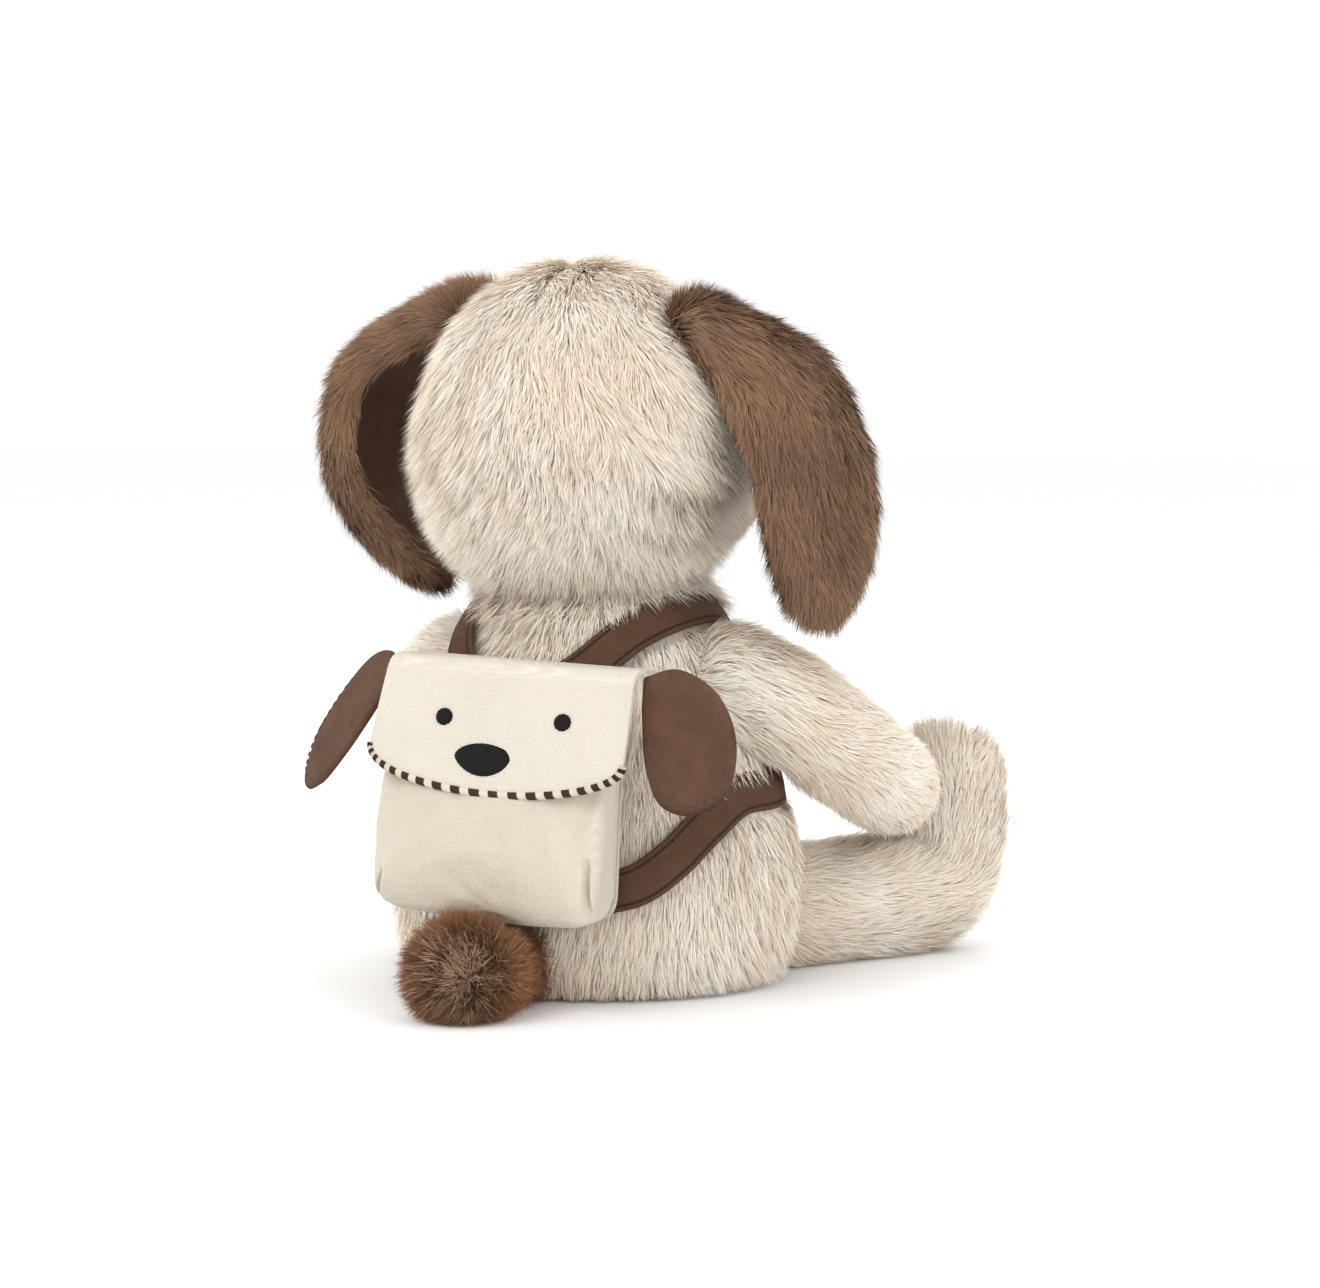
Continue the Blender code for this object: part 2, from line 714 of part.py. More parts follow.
def flap_length(across):
    """The flap's length from the hinge: its lower edge is a shallow curve."""
    edge = math.sqrt(max(0.0, 1 - across**2))
    drop = FLAP_SIDE_DROP + (FLAP_DROP - FLAP_SIDE_DROP) * edge**0.9
    return BAG_MOUTH + FLAP_STANDOFF + drop


def make_flap(hinge):
    bm = bmesh.new()
    bmesh.ops.create_grid(bm, x_segments=12, y_segments=5, size=1.0)
    turn = BAG_MOUTH + FLAP_STANDOFF
    for vert in bm.verts:
        across = math.sin(vert.co.x * math.pi / 2)
        share = (vert.co.y + 1) / 2
        near = min(share / FLAP_FOLD, 1.0) * turn
        far = max(share - FLAP_FOLD, 0.0) / (1 - FLAP_FOLD) * (flap_length(across) - turn)
        vert.co = flap_point(across, near + far)[0]
    bmesh.ops.recalc_face_normals(bm, faces=bm.faces)
    bm.faces.ensure_lookup_table()
    if sum((f.normal.y + f.normal.z) * f.calc_area() for f in bm.faces) < 0:
        bmesh.ops.reverse_faces(bm, faces=bm.faces)
    bmesh.ops.transform(bm, matrix=bag_matrix(), verts=bm.verts)
    flap = part("backpack_flap", bm, "canvas", hinge)
    thicken(flap, CANVAS, offset=1.0)


def on_flap(across, along, lift):
    """A world point a little way off the flap's outer face."""
    place, out = flap_point(across, along)
    return bag_matrix() @ (place + out * (CANVAS + lift))


def make_piping(hinge):
    """A round cord sewn along the flap's lower edge."""
    rows = []
    down, out = front_direction()
    for step in range(17):
        across = math.sin((step / 16 - 0.5) * math.pi) * 0.97
        place, _ = flap_point(across, flap_length(across) + PIPING_RADIUS + GAP)
        rows.append(((bag_matrix() @ (place + out * CANVAS / 2))[:], PIPING_RADIUS))
    part("flap_piping", thread(rows), "canvas", hinge)


def stitched_oval(name, across, drop, width, height, hinge):
    """A raised satin-stitched oval on the flap."""
    down, out = front_direction()
    along = BAG_MOUTH + FLAP_STANDOFF + drop
    place, _ = flap_point(across, along)
    place = place + out * (CANVAS + GAP + STITCHED / 2)
    bm = bmesh.new()
    bmesh.ops.create_cone(bm, cap_ends=True, segments=20, radius1=0.5, radius2=0.5, depth=1.0)
    bmesh.ops.scale(bm, vec=(width, height, STITCHED), verts=bm.verts)
    frame = Matrix((Vector((1, 0, 0)), down, out)).transposed().to_4x4()
    bmesh.ops.transform(bm, matrix=bag_matrix() @ Matrix.Translation(place) @ frame, verts=bm.verts)
    part(name, bm, "thread_black", hinge)


def patch(name, lift, finish, parent):
    """One half of the hook and loop closure between pouch and flap."""
    down, out = front_direction()
    top = Vector((0.0, BAG_MOUTH, BAG_HEIGHT))
    place = top + down * PATCH_DROP + out * (lift + PATCH / 2)
    bm = bmesh.new()
    bmesh.ops.create_cube(bm, size=1.0)
    bmesh.ops.scale(bm, vec=(PATCH_SIZE[0], PATCH_SIZE[1], PATCH), verts=bm.verts)
    frame = Matrix((Vector((1, 0, 0)), down, out)).transposed().to_4x4()
    bmesh.ops.transform(bm, matrix=bag_matrix() @ Matrix.Translation(place) @ frame, verts=bm.verts)
    part(name, bm, finish, parent)


BAG_EAR = {  # splay from straight down, twist about its own length in degrees, and size
    "left": (32.0, 45.0, 1.12),
    "right": (12.0, 16.0, 1.0),
}
BAG_EAR_OUTLINE = (  # across and down from the root, metres
    (-0.0050, 0.0000),
    (0.0060, -0.0005),
    (0.0160, 0.0080),
    (0.0195, 0.0220),
    (0.0150, 0.0370),
    (0.0040, 0.0430),
    (-0.0065, 0.0385),
    (-0.0090, 0.0260),
    (-0.0075, 0.0120),
)
BAG_EAR_THICKNESS = 0.0016


def bag_ear_root(sign):
    """Where a cotton ear is sewn, at the end of the flap's top fold."""
    return bag_matrix() @ Vector((sign * (FLAP_WIDTH / 2 + 0.0062), BAG_MOUTH * 0.55, BAG_HEIGHT + 0.001))


def make_bag_ear(side, root):
    """A flat droplet of doubled cotton, cut from a closed smooth outline."""
    sign = SIDES[side]
    splay, twist, size = BAG_EAR[side]
    curve = bpy.data.curves.new("outline", "CURVE")
    curve.dimensions = "2D"
    curve.fill_mode = "BOTH"
    curve.extrude = BAG_EAR_THICKNESS / 2
    curve.resolution_u = 3
    line = curve.splines.new("BEZIER")
    line.use_cyclic_u = True
    line.bezier_points.add(len(BAG_EAR_OUTLINE) - 1)
    for point, (across, down) in zip(line.bezier_points, BAG_EAR_OUTLINE):
        point.co = (across * size, -down * size, 0.0)
        point.handle_left_type = "AUTO"
        point.handle_right_type = "AUTO"
    holder = bpy.data.objects.new("outline", curve)
    bpy.context.scene.collection.objects.link(holder)
    bpy.context.view_layer.update()
    mesh = bpy.data.meshes.new_from_object(holder.evaluated_get(bpy.context.evaluated_depsgraph_get()))
    bm = bmesh.new()
    bm.from_mesh(mesh)
    bpy.data.objects.remove(holder)
    bpy.data.meshes.remove(mesh)
    bmesh.ops.remove_doubles(bm, verts=bm.verts, dist=0.00001)
    stand = Matrix.Rotation(math.pi / 2, 4, "X")
    face = Matrix.Rotation(math.pi if sign < 0 else 0.0, 4, "Z")
    turn = Matrix.Rotation(-sign * math.radians(twist), 4, "Z")
    lean = Matrix.Rotation(-sign * math.radians(splay), 4, "Y")
    place = Matrix.Translation(bag_ear_root(sign)) @ lean @ turn @ face @ stand
    bmesh.ops.transform(bm, matrix=place, verts=bm.verts)
    bmesh.ops.recalc_face_normals(bm, faces=bm.faces)
    part(f"backpack_ear_{side}", bm, "cotton_brown", root)


def make_strap(side):
    """A webbing loop from the bag's top, over the shoulder, under the arm, to its lower corner."""
    sign = SIDES[side]
    rows = spline(STRAP_ROUTE, 3)
    places = []
    for degrees, height, lift in rows:
        angle = math.radians(degrees)
        place, normal = torso_point(angle, height, lift)
        places.append((place, normal))
    bm = bmesh.new()
    bmesh.ops.create_grid(bm, x_segments=len(places) - 1, y_segments=1, size=1.0)
    for vert in bm.verts:
        i = round((vert.co.x + 1) / 2 * (len(places) - 1))
        place, normal = places[i]
        ahead = places[min(i + 1, len(places) - 1)][0] - places[max(i - 1, 0)][0]
        across = ahead.cross(normal).normalized()
        vert.co = place + across * (vert.co.y * STRAP_WIDTH / 2)
        vert.co.x *= sign
    bmesh.ops.recalc_face_normals(bm, faces=bm.faces)
    bm.faces.ensure_lookup_table()
    if sum(f.normal.dot(f.calc_center_median() - Vector((0, 0, 0.09))) for f in bm.faces) < 0:
        bmesh.ops.reverse_faces(bm, faces=bm.faces)
    strap = part(f"strap_{side}", bm, "cotton_brown")
    thicken(strap, STRAP_THICKNESS, offset=1.0)


def make_backpack():
    make_pouch()
    make_back_panel()
    for side in SIDES:
        make_strap(side)
    patch("closure_loop_patch", GAP, "canvas", None)
    hinge_place = bag_matrix() @ Vector((0.0, 0.0, BAG_HEIGHT + 0.0014))
    hinge = pivot("flap_hinge", hinge_place)
    make_flap(hinge)
    make_piping(hinge)
    for side, sign in SIDES.items():
        across = sign * FACE_EYE_SPREAD / (FLAP_WIDTH / 2)
        stitched_oval(f"flap_eye_{side}", across, FACE_EYE_DROP, 0.0050, 0.0054, hinge)
    stitched_oval("flap_nose", 0.08, FACE_NOSE_DROP, 0.0172, 0.0092, hinge)
    patch("closure_hook_patch", FLAP_STANDOFF - GAP - PATCH, "cotton_brown", hinge)
    for side, sign in SIDES.items():
        make_bag_ear(side, pivot(f"bag_ear_{side}_root", bag_ear_root(sign)))


# ---- assembly -----------------------------------------------------------------------------
clear_scene()
PARTS = new_collection("plush_dog")
CUTTERS = new_collection("cutters")

make_torso()
neck_pivot = pivot("neck", Vector((0.0, NECK_AXIS_Y, NECK_HEIGHT)))
make_head(neck_pivot)
for ear_side in SIDES:
    make_ear(ear_side, pivot(f"ear_{ear_side}_root", Vector(EAR_ROOT[ear_side])))
for limb_side, limb_sign in SIDES.items():
    shoulder = pivot(f"shoulder_{limb_side}", root_of(ARM_ROUTE, limb_sign))
    make_limb("arm", ARM_ROUTE, ARM_RADII, limb_side, "plush_cream", shoulder)
    hip = pivot(f"hip_{limb_side}", root_of(LEG_ROUTE, limb_sign))
    make_limb("leg", LEG_ROUTE, LEG_RADII, limb_side, "plush_cream", hip, sides=14)
tail_pivot = pivot("tail_root", root_of(TAIL_ROUTE, 1.0))
make_limb("tail", TAIL_ROUTE, TAIL_RADII, "", "plush_brown", tail_pivot, sides=14)
make_backpack()
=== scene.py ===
"""A seated plush dog with a small flap backpack: its pile, cloth, stitching, beads and studio."""
import math

import bmesh
import bpy
import numpy as np
from mathutils import Matrix, Vector
from mathutils.bvhtree import BVHTree


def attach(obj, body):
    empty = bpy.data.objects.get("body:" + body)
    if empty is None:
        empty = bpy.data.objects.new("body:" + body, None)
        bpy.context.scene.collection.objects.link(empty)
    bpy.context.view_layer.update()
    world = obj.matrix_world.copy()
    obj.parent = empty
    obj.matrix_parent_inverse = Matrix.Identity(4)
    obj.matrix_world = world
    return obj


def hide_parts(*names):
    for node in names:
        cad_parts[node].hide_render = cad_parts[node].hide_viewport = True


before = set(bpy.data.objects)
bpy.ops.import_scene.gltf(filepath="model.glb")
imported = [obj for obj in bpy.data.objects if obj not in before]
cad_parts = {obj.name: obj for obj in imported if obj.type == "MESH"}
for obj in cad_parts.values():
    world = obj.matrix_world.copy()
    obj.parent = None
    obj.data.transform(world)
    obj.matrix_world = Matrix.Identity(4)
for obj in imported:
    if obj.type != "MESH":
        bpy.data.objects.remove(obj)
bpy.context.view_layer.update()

SIDES = {"left": 1.0, "right": -1.0}

# ---- measures, in metres, as the frame has them
TORSO_WIDTH = 0.061
TORSO_DEPTH = 0.057
TORSO_PROFILE = (
    (0.70, 0.000),
    (0.86, 0.004),
    (0.96, 0.014),
    (1.00, 0.028),
    (0.985, 0.044),
    (0.92, 0.062),
    (0.83, 0.082),
    (0.73, 0.100),
    (0.61, 0.113),
    (0.49, 0.1225),
    (0.41, 0.131),
)
NECK_START = 0.1125
HEAD_CENTRE = Vector((0.0, 0.008, 0.1705))
HEAD_RADII = Vector((0.0475, 0.0455, 0.0500))
MUZZLE_CENTRE = Vector((0.0, -0.043, 0.1515))
MUZZLE_RADII = Vector((0.0300, 0.0310, 0.0210))
EYE_SPREAD = 0.019
EYE_HEIGHT = 0.182
EYE_RADIUS = 0.0046
EYE_LIFT = 0.0030
NOSE_RADII = Vector((0.0095, 0.0052, 0.0068))
MOUTH_RADIUS = 0.00075
MOUTH_LIFT = 0.0017

ARM_ROUTE = (
    (0.0475, 0.000, 0.0930),
    (0.0600, -0.009, 0.0865),
    (0.0680, -0.029, 0.0740),
    (0.0705, -0.050, 0.0640),
    (0.0690, -0.0675, 0.0575),
)
ARM_RADII = (0.0160, 0.0152, 0.0145, 0.0138, 0.0132)
LEG_ROUTE = (
    (0.0410, -0.041, 0.0180),
    (0.0510, -0.060, 0.0180),
    (0.0640, -0.084, 0.0188),
    (0.0700, -0.0965, 0.0235),
    (0.0728, -0.1020, 0.0370),
    (0.0738, -0.1035, 0.0505),
)
LEG_RADII = (0.0170, 0.0172, 0.0178, 0.0190, 0.0185, 0.0172)
TAIL_ROUTE = ((0.0, 0.0525, 0.0128), (-0.002, 0.072, 0.0128), (-0.006, 0.090, 0.0135))
TAIL_RADII = (0.0110, 0.0115, 0.0128)

EAR_ROOT = {"left": (0.0415, 0.008, 0.2129), "right": (-0.0460, 0.008, 0.2075)}
EAR_TURN = {"left": 17.0, "right": 3.0}
EAR_LENGTH = {"left": 0.131, "right": 0.104}
EAR_TWIST = {"left": 0.0, "right": 30.0}
EAR_SLOPES = {
    "left": (-14, -29, -77, -123, -150),
    "right": (-26, -50, -70, -87, -99),
}
EAR_ROOT_SHARE = -0.085  # the ear's cloth runs on past its axis into the head's pile
EAR_ROOT_CURL = 620.0  # degrees per share that it bends down on the way
EAR_WIDTH = 0.036
EAR_PLUSH = 0.0070
EAR_CUP = 0.0045
LINING = 0.0012
LINING_GAP = 0.0008
LINING_CLEAR = 0.0015  # how far from the lining the ear's pile starts

# pile: length, and the number of blades in a piece
TORSO_PILE = (0.0108, 62000)
NECK_PILE = (0.0135, 15000)
HEAD_PILE = (0.0118, 64000)
MUZZLE_PILE = (0.0055, 26000)
ARM_PILE = (0.0100, 38000)
LEG_PILE = (0.0104, 44000)
EAR_PILE = (0.0106, 56000)
TAIL_PILE = (0.0096, 30000)
LIMBS = {"arm": (ARM_ROUTE, ARM_RADII, ARM_PILE), "leg": (LEG_ROUTE, LEG_RADII, LEG_PILE)}

BAG_PLACE = Vector((-0.0070, 0.0600, 0.0272))
BAG_TILT = math.radians(3.0)
BAG_ROLL = math.radians(-2.0)
BAG_WIDTH = 0.080
BAG_HEIGHT = 0.0740
BAG_DEPTH = 0.027
BAG_MOUTH = 0.0115
MOUTH_WASTE = 0.006  # height above the mouth that is cut away
POUCH_SWELL = 0.0030  # the furthest that its cloth may blow out
POUCH_SAG = 0.0026
CORNER = 0.008
CANVAS = 0.0012
POUCH_VOXEL = 0.0021
DARTS = (((-0.0330, 0.0200), (-0.0358, 0.0015)), ((0.0345, 0.0115), (0.0358, 0.0010)))
DART_REACH = 0.0026
FOLDS = (  # start and end, across and up the front, then depth and width
    ((-0.0330, 0.046), (-0.0260, 0.020), 0.0013, 0.0030),
    ((-0.0200, 0.040), (-0.0285, 0.024), 0.0008, 0.0026),
    ((0.0360, 0.046), (0.0250, 0.018), 0.0012, 0.0032),
    ((0.0180, 0.042), (0.0060, 0.030), 0.0007, 0.0034),
    ((-0.0040, 0.030), (-0.0100, 0.006), 0.0006, 0.0036),
)
FLAP_STANDOFF = 0.0026
FLAP_WIDTH = 0.085
FLAP_DROP = 0.0380
FLAP_SIDE_DROP = 0.0255
FOLD_RADIUS = 0.0045
PIPING_RADIUS = 0.0012
STITCH_PITCH = 0.0030
STITCH_LENGTH = 0.0021
STITCH_RADIUS = 0.00026
STRAP_WIDTH = 0.0125
STRAP_THICKNESS = 0.0013
STRAP_HEM = 0.00035
STRAP_CROWN = 0.0010
STRAP_ROUTE = (  # degrees round the torso (90 is the back), height, lift off the torso
    (80.0, 0.0900, 0.0104),
    (70.0, 0.0945, 0.0088),
    (48.0, 0.1080, 0.0046),
    (20.0, 0.1145, 0.0030),
    (-14.0, 0.1145, 0.0026),
    (-42.0, 0.1040, 0.0026),
    (-58.0, 0.0860, 0.0026),
    (-50.0, 0.0700, 0.0024),
    (-30.0, 0.0620, 0.0020),
    (-8.0, 0.0605, 0.0020),
    (14.0, 0.0600, 0.0026),
    (30.0, 0.0520, 0.0040),
    (42.0, 0.0430, 0.0066),
    (52.0, 0.0365, 0.0086),
    (63.0, 0.0335, 0.0046),
)
BAG_EAR = {"left": (40.0, 47.0, 1.18), "right": (11.0, 16.0, 0.98)}  # splay, twist, size
BAG_EAR_ROOT = {"left": (0.0022, 0.0036), "right": (0.0036, 0.0)}  # out from the flap, and down
BAG_EAR_CENTRE = Vector((0.0045, -0.021))
BAG_EAR_HEM = 0.0022
BAG_EAR_THICKNESS = 0.0030
BAG_EAR_RIM = 0.0012
BAG_EAR_OUTLINE = (
    (-0.0050, 0.0000),
    (0.0060, -0.0005),
    (0.0160, 0.0080),
    (0.0195, 0.0220),
    (0.0150, 0.0370),
    (0.0040, 0.0430),
    (-0.0065, 0.0385),
    (-0.0090, 0.0260),
    (-0.0075, 0.0120),
)

# ---- colours, linear
CREAM_LIGHT = (0.965, 0.912, 0.812)
CREAM_DEEP = (0.84, 0.70, 0.55)
BROWN_LIGHT = (0.325, 0.190, 0.112)
BROWN_DEEP = (0.145, 0.075, 0.042)
# the tail's pile: the ears' brown painted over twice as light, as painted light that offsets the
# shade among its upright blades
TAIL_PAINTED_LIGHT_PALE = (0.74, 0.50, 0.335)
TAIL_PAINTED_LIGHT_DEEP = (0.36, 0.215, 0.135)
LINING_BROWN = (0.060, 0.032, 0.021)
CANVAS_PALE = (0.725, 0.668, 0.565)
CANVAS_SHADE = (0.60, 0.54, 0.435)
# the pouch's canvas: the flap's same cloth darkened by about a tenth as painted shade, where the
# pouch tilts downward
PAINTED_SHADE_PALE = (0.655, 0.595, 0.488)
PAINTED_SHADE_DEEP = (0.53, 0.468, 0.366)
COTTON_BROWN = (0.098, 0.050, 0.030)
COTTON_EDGE = (0.060, 0.029, 0.017)
THREAD_BLACK = (0.006, 0.005, 0.005)
BEAD_BLACK = (0.006, 0.005, 0.005)
STRIPE_CREAM = (0.80, 0.72, 0.59)
STRIPE_BROWN = (0.060, 0.028, 0.016)


# ---- shader writing
def arithmetic(operation, turned=False):
    """A method that adds a Math node, with the other value first if turned."""

    def method(self, other):
        pair = (other, self) if turned else (self, other)
        return self.finish.sum(operation, *pair)

    return method


class Wire:
    """An output of a shader node; arithmetic on it adds Math nodes."""

    def __init__(self, finish, socket):
        self.finish = finish
        self.socket = socket

    __add__, __radd__ = arithmetic("ADD"), arithmetic("ADD", True)
    __sub__, __rsub__ = arithmetic("SUBTRACT"), arithmetic("SUBTRACT", True)
    __mul__, __pow__ = arithmetic("MULTIPLY"), arithmetic("POWER")

    def __abs__(self):
        return self.finish.sum("ABSOLUTE", self)

    def sine(self):
        return self.finish.sum("SINE", self)

    def part(self):
        """What is left of it past the whole number."""
        return self.finish.sum("FRACT", self)

    def over(self, edge, softness):
        """0 below the edge and 1 above it, with a soft step."""
        return self.finish.node(
            "ShaderNodeMapRange",
            {"interpolation_type": "SMOOTHSTEP"},
            {0: self, 1: edge - softness, 2: edge + softness, 3: 0.0, 4: 1.0},
        )


class Finish:
    """A material: one Principled shader and the nodes that feed it."""

    def __init__(self, name, roughness, **constants):
        self.material = bpy.data.materials.new(name)
        self.material.use_nodes = True
        self.tree = self.material.node_tree
        self.shader = self.tree.nodes["Principled BSDF"]
        self.shader.inputs["Roughness"].default_value = roughness
        for key, value in constants.items():
            self.shader.inputs[key.replace("_", " ")].default_value = value

    def node(self, kind, settings=None, values=None, output=0):
        """Adds a node, with its settings first and then the values or wires of its sockets."""
        made = self.tree.nodes.new(kind)
        for key, value in (settings or {}).items():
            if key == "stops":
                self.set_stops(made.color_ramp, value)
            else:
                setattr(made, key, value)
        for key, value in (values or {}).items():
            self.feed(made.inputs[key], value)
        return Wire(self, made.outputs[output])

    def set_stops(self, ramp, stops):
        while len(ramp.elements) < len(stops):
            ramp.elements.new(0.5)
        for element, (place, colour) in zip(ramp.elements, stops):
            element.position = place
            element.color = (*colour, 1.0)

    def feed(self, socket, value):
        if isinstance(value, Wire):
            self.tree.links.new(value.socket, socket)
        elif isinstance(value, tuple) and len(value) == 3 and socket.type == "RGBA":
            socket.default_value = (*value, 1.0)
        else:
            socket.default_value = value

    def sum(self, operation, *values):
        return self.node("ShaderNodeMath", {"operation": operation}, dict(enumerate(values)))

    def mix(self, factor, first, second):
        values = {0: factor, 6: first, 7: second}
        return self.node("ShaderNodeMix", {"data_type": "RGBA"}, values, output=2)

    def ramp(self, tone, *stops):
        """A colour for a tone, from stops of place and colour."""
        return self.node("ShaderNodeValToRGB", {"stops": stops}, {0: tone})

    def points(self, scale):
        """How far each place is from the nearest of many scattered points."""
        values = {"Vector": self.place(), "Scale": scale}
        return self.node("ShaderNodeTexVoronoi", {"feature": "F1"}, values)

    def place(self):
        return self.node("ShaderNodeTexCoord", output=3)

    def facing(self):
        return self.node("ShaderNodeTexCoord", output=1)

    def split(self, vector):
        made = self.tree.nodes.new("ShaderNodeSeparateXYZ")
        self.feed(made.inputs[0], vector)
        return [Wire(self, out) for out in made.outputs]

    def uv(self):
        return self.split(self.node("ShaderNodeUVMap", {"uv_map": "cloth"}))

    def attribute(self, name):
        return self.node("ShaderNodeAttribute", {"attribute_name": name})

    def noise(self, scale, detail=2.0, roughness=0.5, vector=None, distortion=0.0):
        values = {"Vector": vector or self.place(), "Scale": scale, "Detail": detail}
        values.update({"Roughness": roughness, "Distortion": distortion})
        return self.node("ShaderNodeTexNoise", None, values)

    def bump(self, height, distance, strength=1.0):
        values = {"Height": height, "Distance": distance, "Strength": strength}
        self.feed(self.shader.inputs["Normal"], self.node("ShaderNodeBump", None, values))

    def colour(self, value):
        self.feed(self.shader.inputs["Base Color"], value)

    def roughness(self, value):
        self.feed(self.shader.inputs["Roughness"], value)

    def weave(self, pitch):
        """Height of a plain weave whose threads run along the two axes that lie in the cloth."""
        x, y, z = ((axis * (2 * math.pi / pitch)).sine() for axis in self.split(self.place()))
        nx, ny, nz = (abs(axis) ** 2.0 for axis in self.split(self.facing()))
        return x * z * ny + y * z * nx + x * y * nz


def scaled(colour, factor):
    return tuple(channel * factor for channel in colour)


def pile_finish(name, sheen):
    """Blades of pile, coloured one by one along their length."""
    finish = Finish(name, 0.82, Sheen_Weight=0.12, Sheen_Roughness=0.45, Specular_IOR_Level=0.2)
    finish.shader.inputs["Sheen Tint"].default_value = (*sheen, 1.0)
    tint = finish.attribute("tint")
    fleck = finish.noise(900.0, 2.0)
    finish.colour(finish.mix(fleck * 0.14, tint, sheen))
    finish.roughness(0.74 + fleck * 0.16)
    return finish.material


def backing_finish(name, light, deep):
    """The knitted cloth and short curls under the long pile."""
    finish = Finish(name, 0.95, Sheen_Weight=0.25, Sheen_Roughness=0.6)
    curls = finish.noise(620.0, 4.0, 0.65)
    patches = finish.noise(55.0, 3.0)
    tone = curls * 0.65 + patches * 0.35
    finish.colour(finish.ramp(tone, (0.32, deep), (0.72, light)))
    finish.bump(curls, 0.0011, 0.9)
    return finish.material


def lining_finish():
    """Brushed brown cotton with a fine nap and rubbed high spots."""
    finish = Finish("brushed_lining", 0.95, Specular_IOR_Level=0.15)
    nap = finish.noise(1500.0, 3.0, 0.6)
    clouds = finish.noise(70.0, 4.0, 0.6)
    tone = nap * 0.35 + clouds * 0.65
    finish.colour(finish.ramp(tone, (0.30, LINING_BROWN), (0.78, scaled(LINING_BROWN, 2.1))))
    finish.roughness(0.82 + nap * 0.14)
    finish.bump(nap * 0.5 + finish.weave(0.0007) * 0.3, 0.0004, 0.8)
    return finish.material


def canvas_finish(name, pale, shade):
    """Unbleached plain-weave cotton with slubs, faint handling marks and a soft nap."""
    finish = Finish(name, 0.88, Sheen_Weight=0.15, Sheen_Roughness=0.5)
    weave = finish.weave(0.00085)
    values = {"Vector": finish.place(), "Scale": (160.0, 160.0, 1400.0)}
    slubs = finish.noise(1.0, 3.0, 0.6, vector=finish.node("ShaderNodeMapping", None, values))
    marks = finish.noise(38.0, 4.0, 0.6)
    tone = 0.62 + marks * 0.42 - slubs * 0.22 + weave * 0.10
    finish.colour(finish.ramp(tone, (0.30, shade), (0.72, pale)))
    finish.roughness(0.80 + slubs * 0.14)
    finish.bump(weave * 0.6 + slubs * 0.6 + finish.noise(420.0, 2.0) * 0.5, 0.00035, 0.75)
    return finish.material


COTTON_STOPS = ((0.18, COTTON_EDGE), (0.45, COTTON_BROWN))


def cotton_finish():
    """Dark brown twill, paler along the worn raised threads."""
    finish = Finish("cotton_twill", 0.9, Specular_IOR_Level=0.2)
    x, y, z = finish.split(finish.place())
    twill = ((x + y + z * 1.35) * (2 * math.pi / 0.0008)).sine()
    worn = finish.noise(90.0, 4.0, 0.65)
    fibre = finish.noise(1300.0, 2.0)
    tone = 0.40 + twill * 0.025 + (worn - 0.5) * 0.60 + fibre * 0.18
    finish.colour(finish.ramp(tone, *COTTON_STOPS, (0.85, scaled(COTTON_BROWN, 1.75))))
    finish.roughness(0.76 + fibre * 0.16)
    finish.bump(twill * 0.12 + fibre * 0.8, 0.00025, 0.7)
    return finish.material


def strap_finish():
    """The same twill, folded to a strap: darker turned edges and a row of stitches by each."""
    finish = Finish("strap_twill", 0.9, Specular_IOR_Level=0.2)
    u, v, _ = finish.uv()
    edge = abs(u - 0.5)
    twill = ((v * 900.0 + u * 11.0) * (2 * math.pi)).sine()
    worn = finish.noise(110.0, 4.0, 0.65)
    fibre = finish.noise(1300.0, 2.0)
    tone = 0.40 + twill * 0.06 + (worn - 0.5) * 0.50 + fibre * 0.14
    cloth = finish.ramp(tone, *COTTON_STOPS, (0.85, scaled(COTTON_BROWN, 1.7)))
    line = edge.over(0.335, 0.012) * (1.0 - edge.over(0.385, 0.012))
    dash = (v * 330.0).part().over(0.32, 0.06)
    groove = line * (1.0 - dash)
    finish.colour(finish.mix(line * 0.75, cloth, scaled(COTTON_EDGE, 0.55)))
    finish.bump(twill * 0.3 + fibre * 0.4 + line * dash * 1.6 - groove * 2.2, 0.0004, 0.9)
    return finish.material


def satin_finish():
    """Black satin stitch: fine parallel threads side by side."""
    finish = Finish("satin_stitch", 0.6, Specular_IOR_Level=0.25)
    u = finish.uv()[0]
    wobble = finish.noise(260.0, 2.0)
    threads = ((u * 34.0 + wobble * 1.3) * (2 * math.pi)).sine()
    sheen = scaled(THREAD_BLACK, 2.6)
    finish.colour(finish.mix(threads * 0.5 + 0.5, (0.004, 0.0035, 0.003), sheen))
    finish.roughness(0.55 + wobble * 0.2)
    finish.bump(threads + wobble * 0.6, 0.00025, 1.0)
    return finish.material


def bead_finish():
    """Polished black plastic, with the faintest scuffs."""
    finish = Finish("bead_gloss", 0.12, Coat_Weight=0.3, Coat_Roughness=0.04)
    scuffs = finish.noise(240.0, 5.0, 0.7)
    finish.colour(finish.mix(scuffs, BEAD_BLACK, (0.016, 0.012, 0.010)))
    finish.roughness(0.09 + scuffs * 0.10)
    return finish.material


def piping_finish():
    """Cream piping wound with evenly spaced brown stripes."""
    finish = Finish("striped_piping", 0.85, Specular_IOR_Level=0.2)
    u, v, _ = finish.uv()
    lay = v * 20.0 + u * 0.35 + (finish.noise(180.0, 1.0) - 0.5) * 0.14
    stripe = lay.part().over(0.47, 0.035)
    fibre = finish.noise(1200.0, 2.0)
    finish.colour(finish.mix(stripe, STRIPE_CREAM, STRIPE_BROWN))
    finish.roughness(0.72 + fibre * 0.2)
    finish.bump((v * 2600.0 + u * 14.0).sine() * 0.4 + fibre, 0.00022, 0.8)
    return finish.material


def thread_finish(name, colour):
    """Two-ply sewing thread."""
    finish = Finish(name, 0.55, Sheen_Weight=0.2)
    ply = finish.noise(1500.0, 2.0)
    finish.colour(finish.mix(ply, scaled(colour, 0.75), scaled(colour, 1.15)))
    finish.bump(ply, 0.0002, 0.7)
    return finish.material


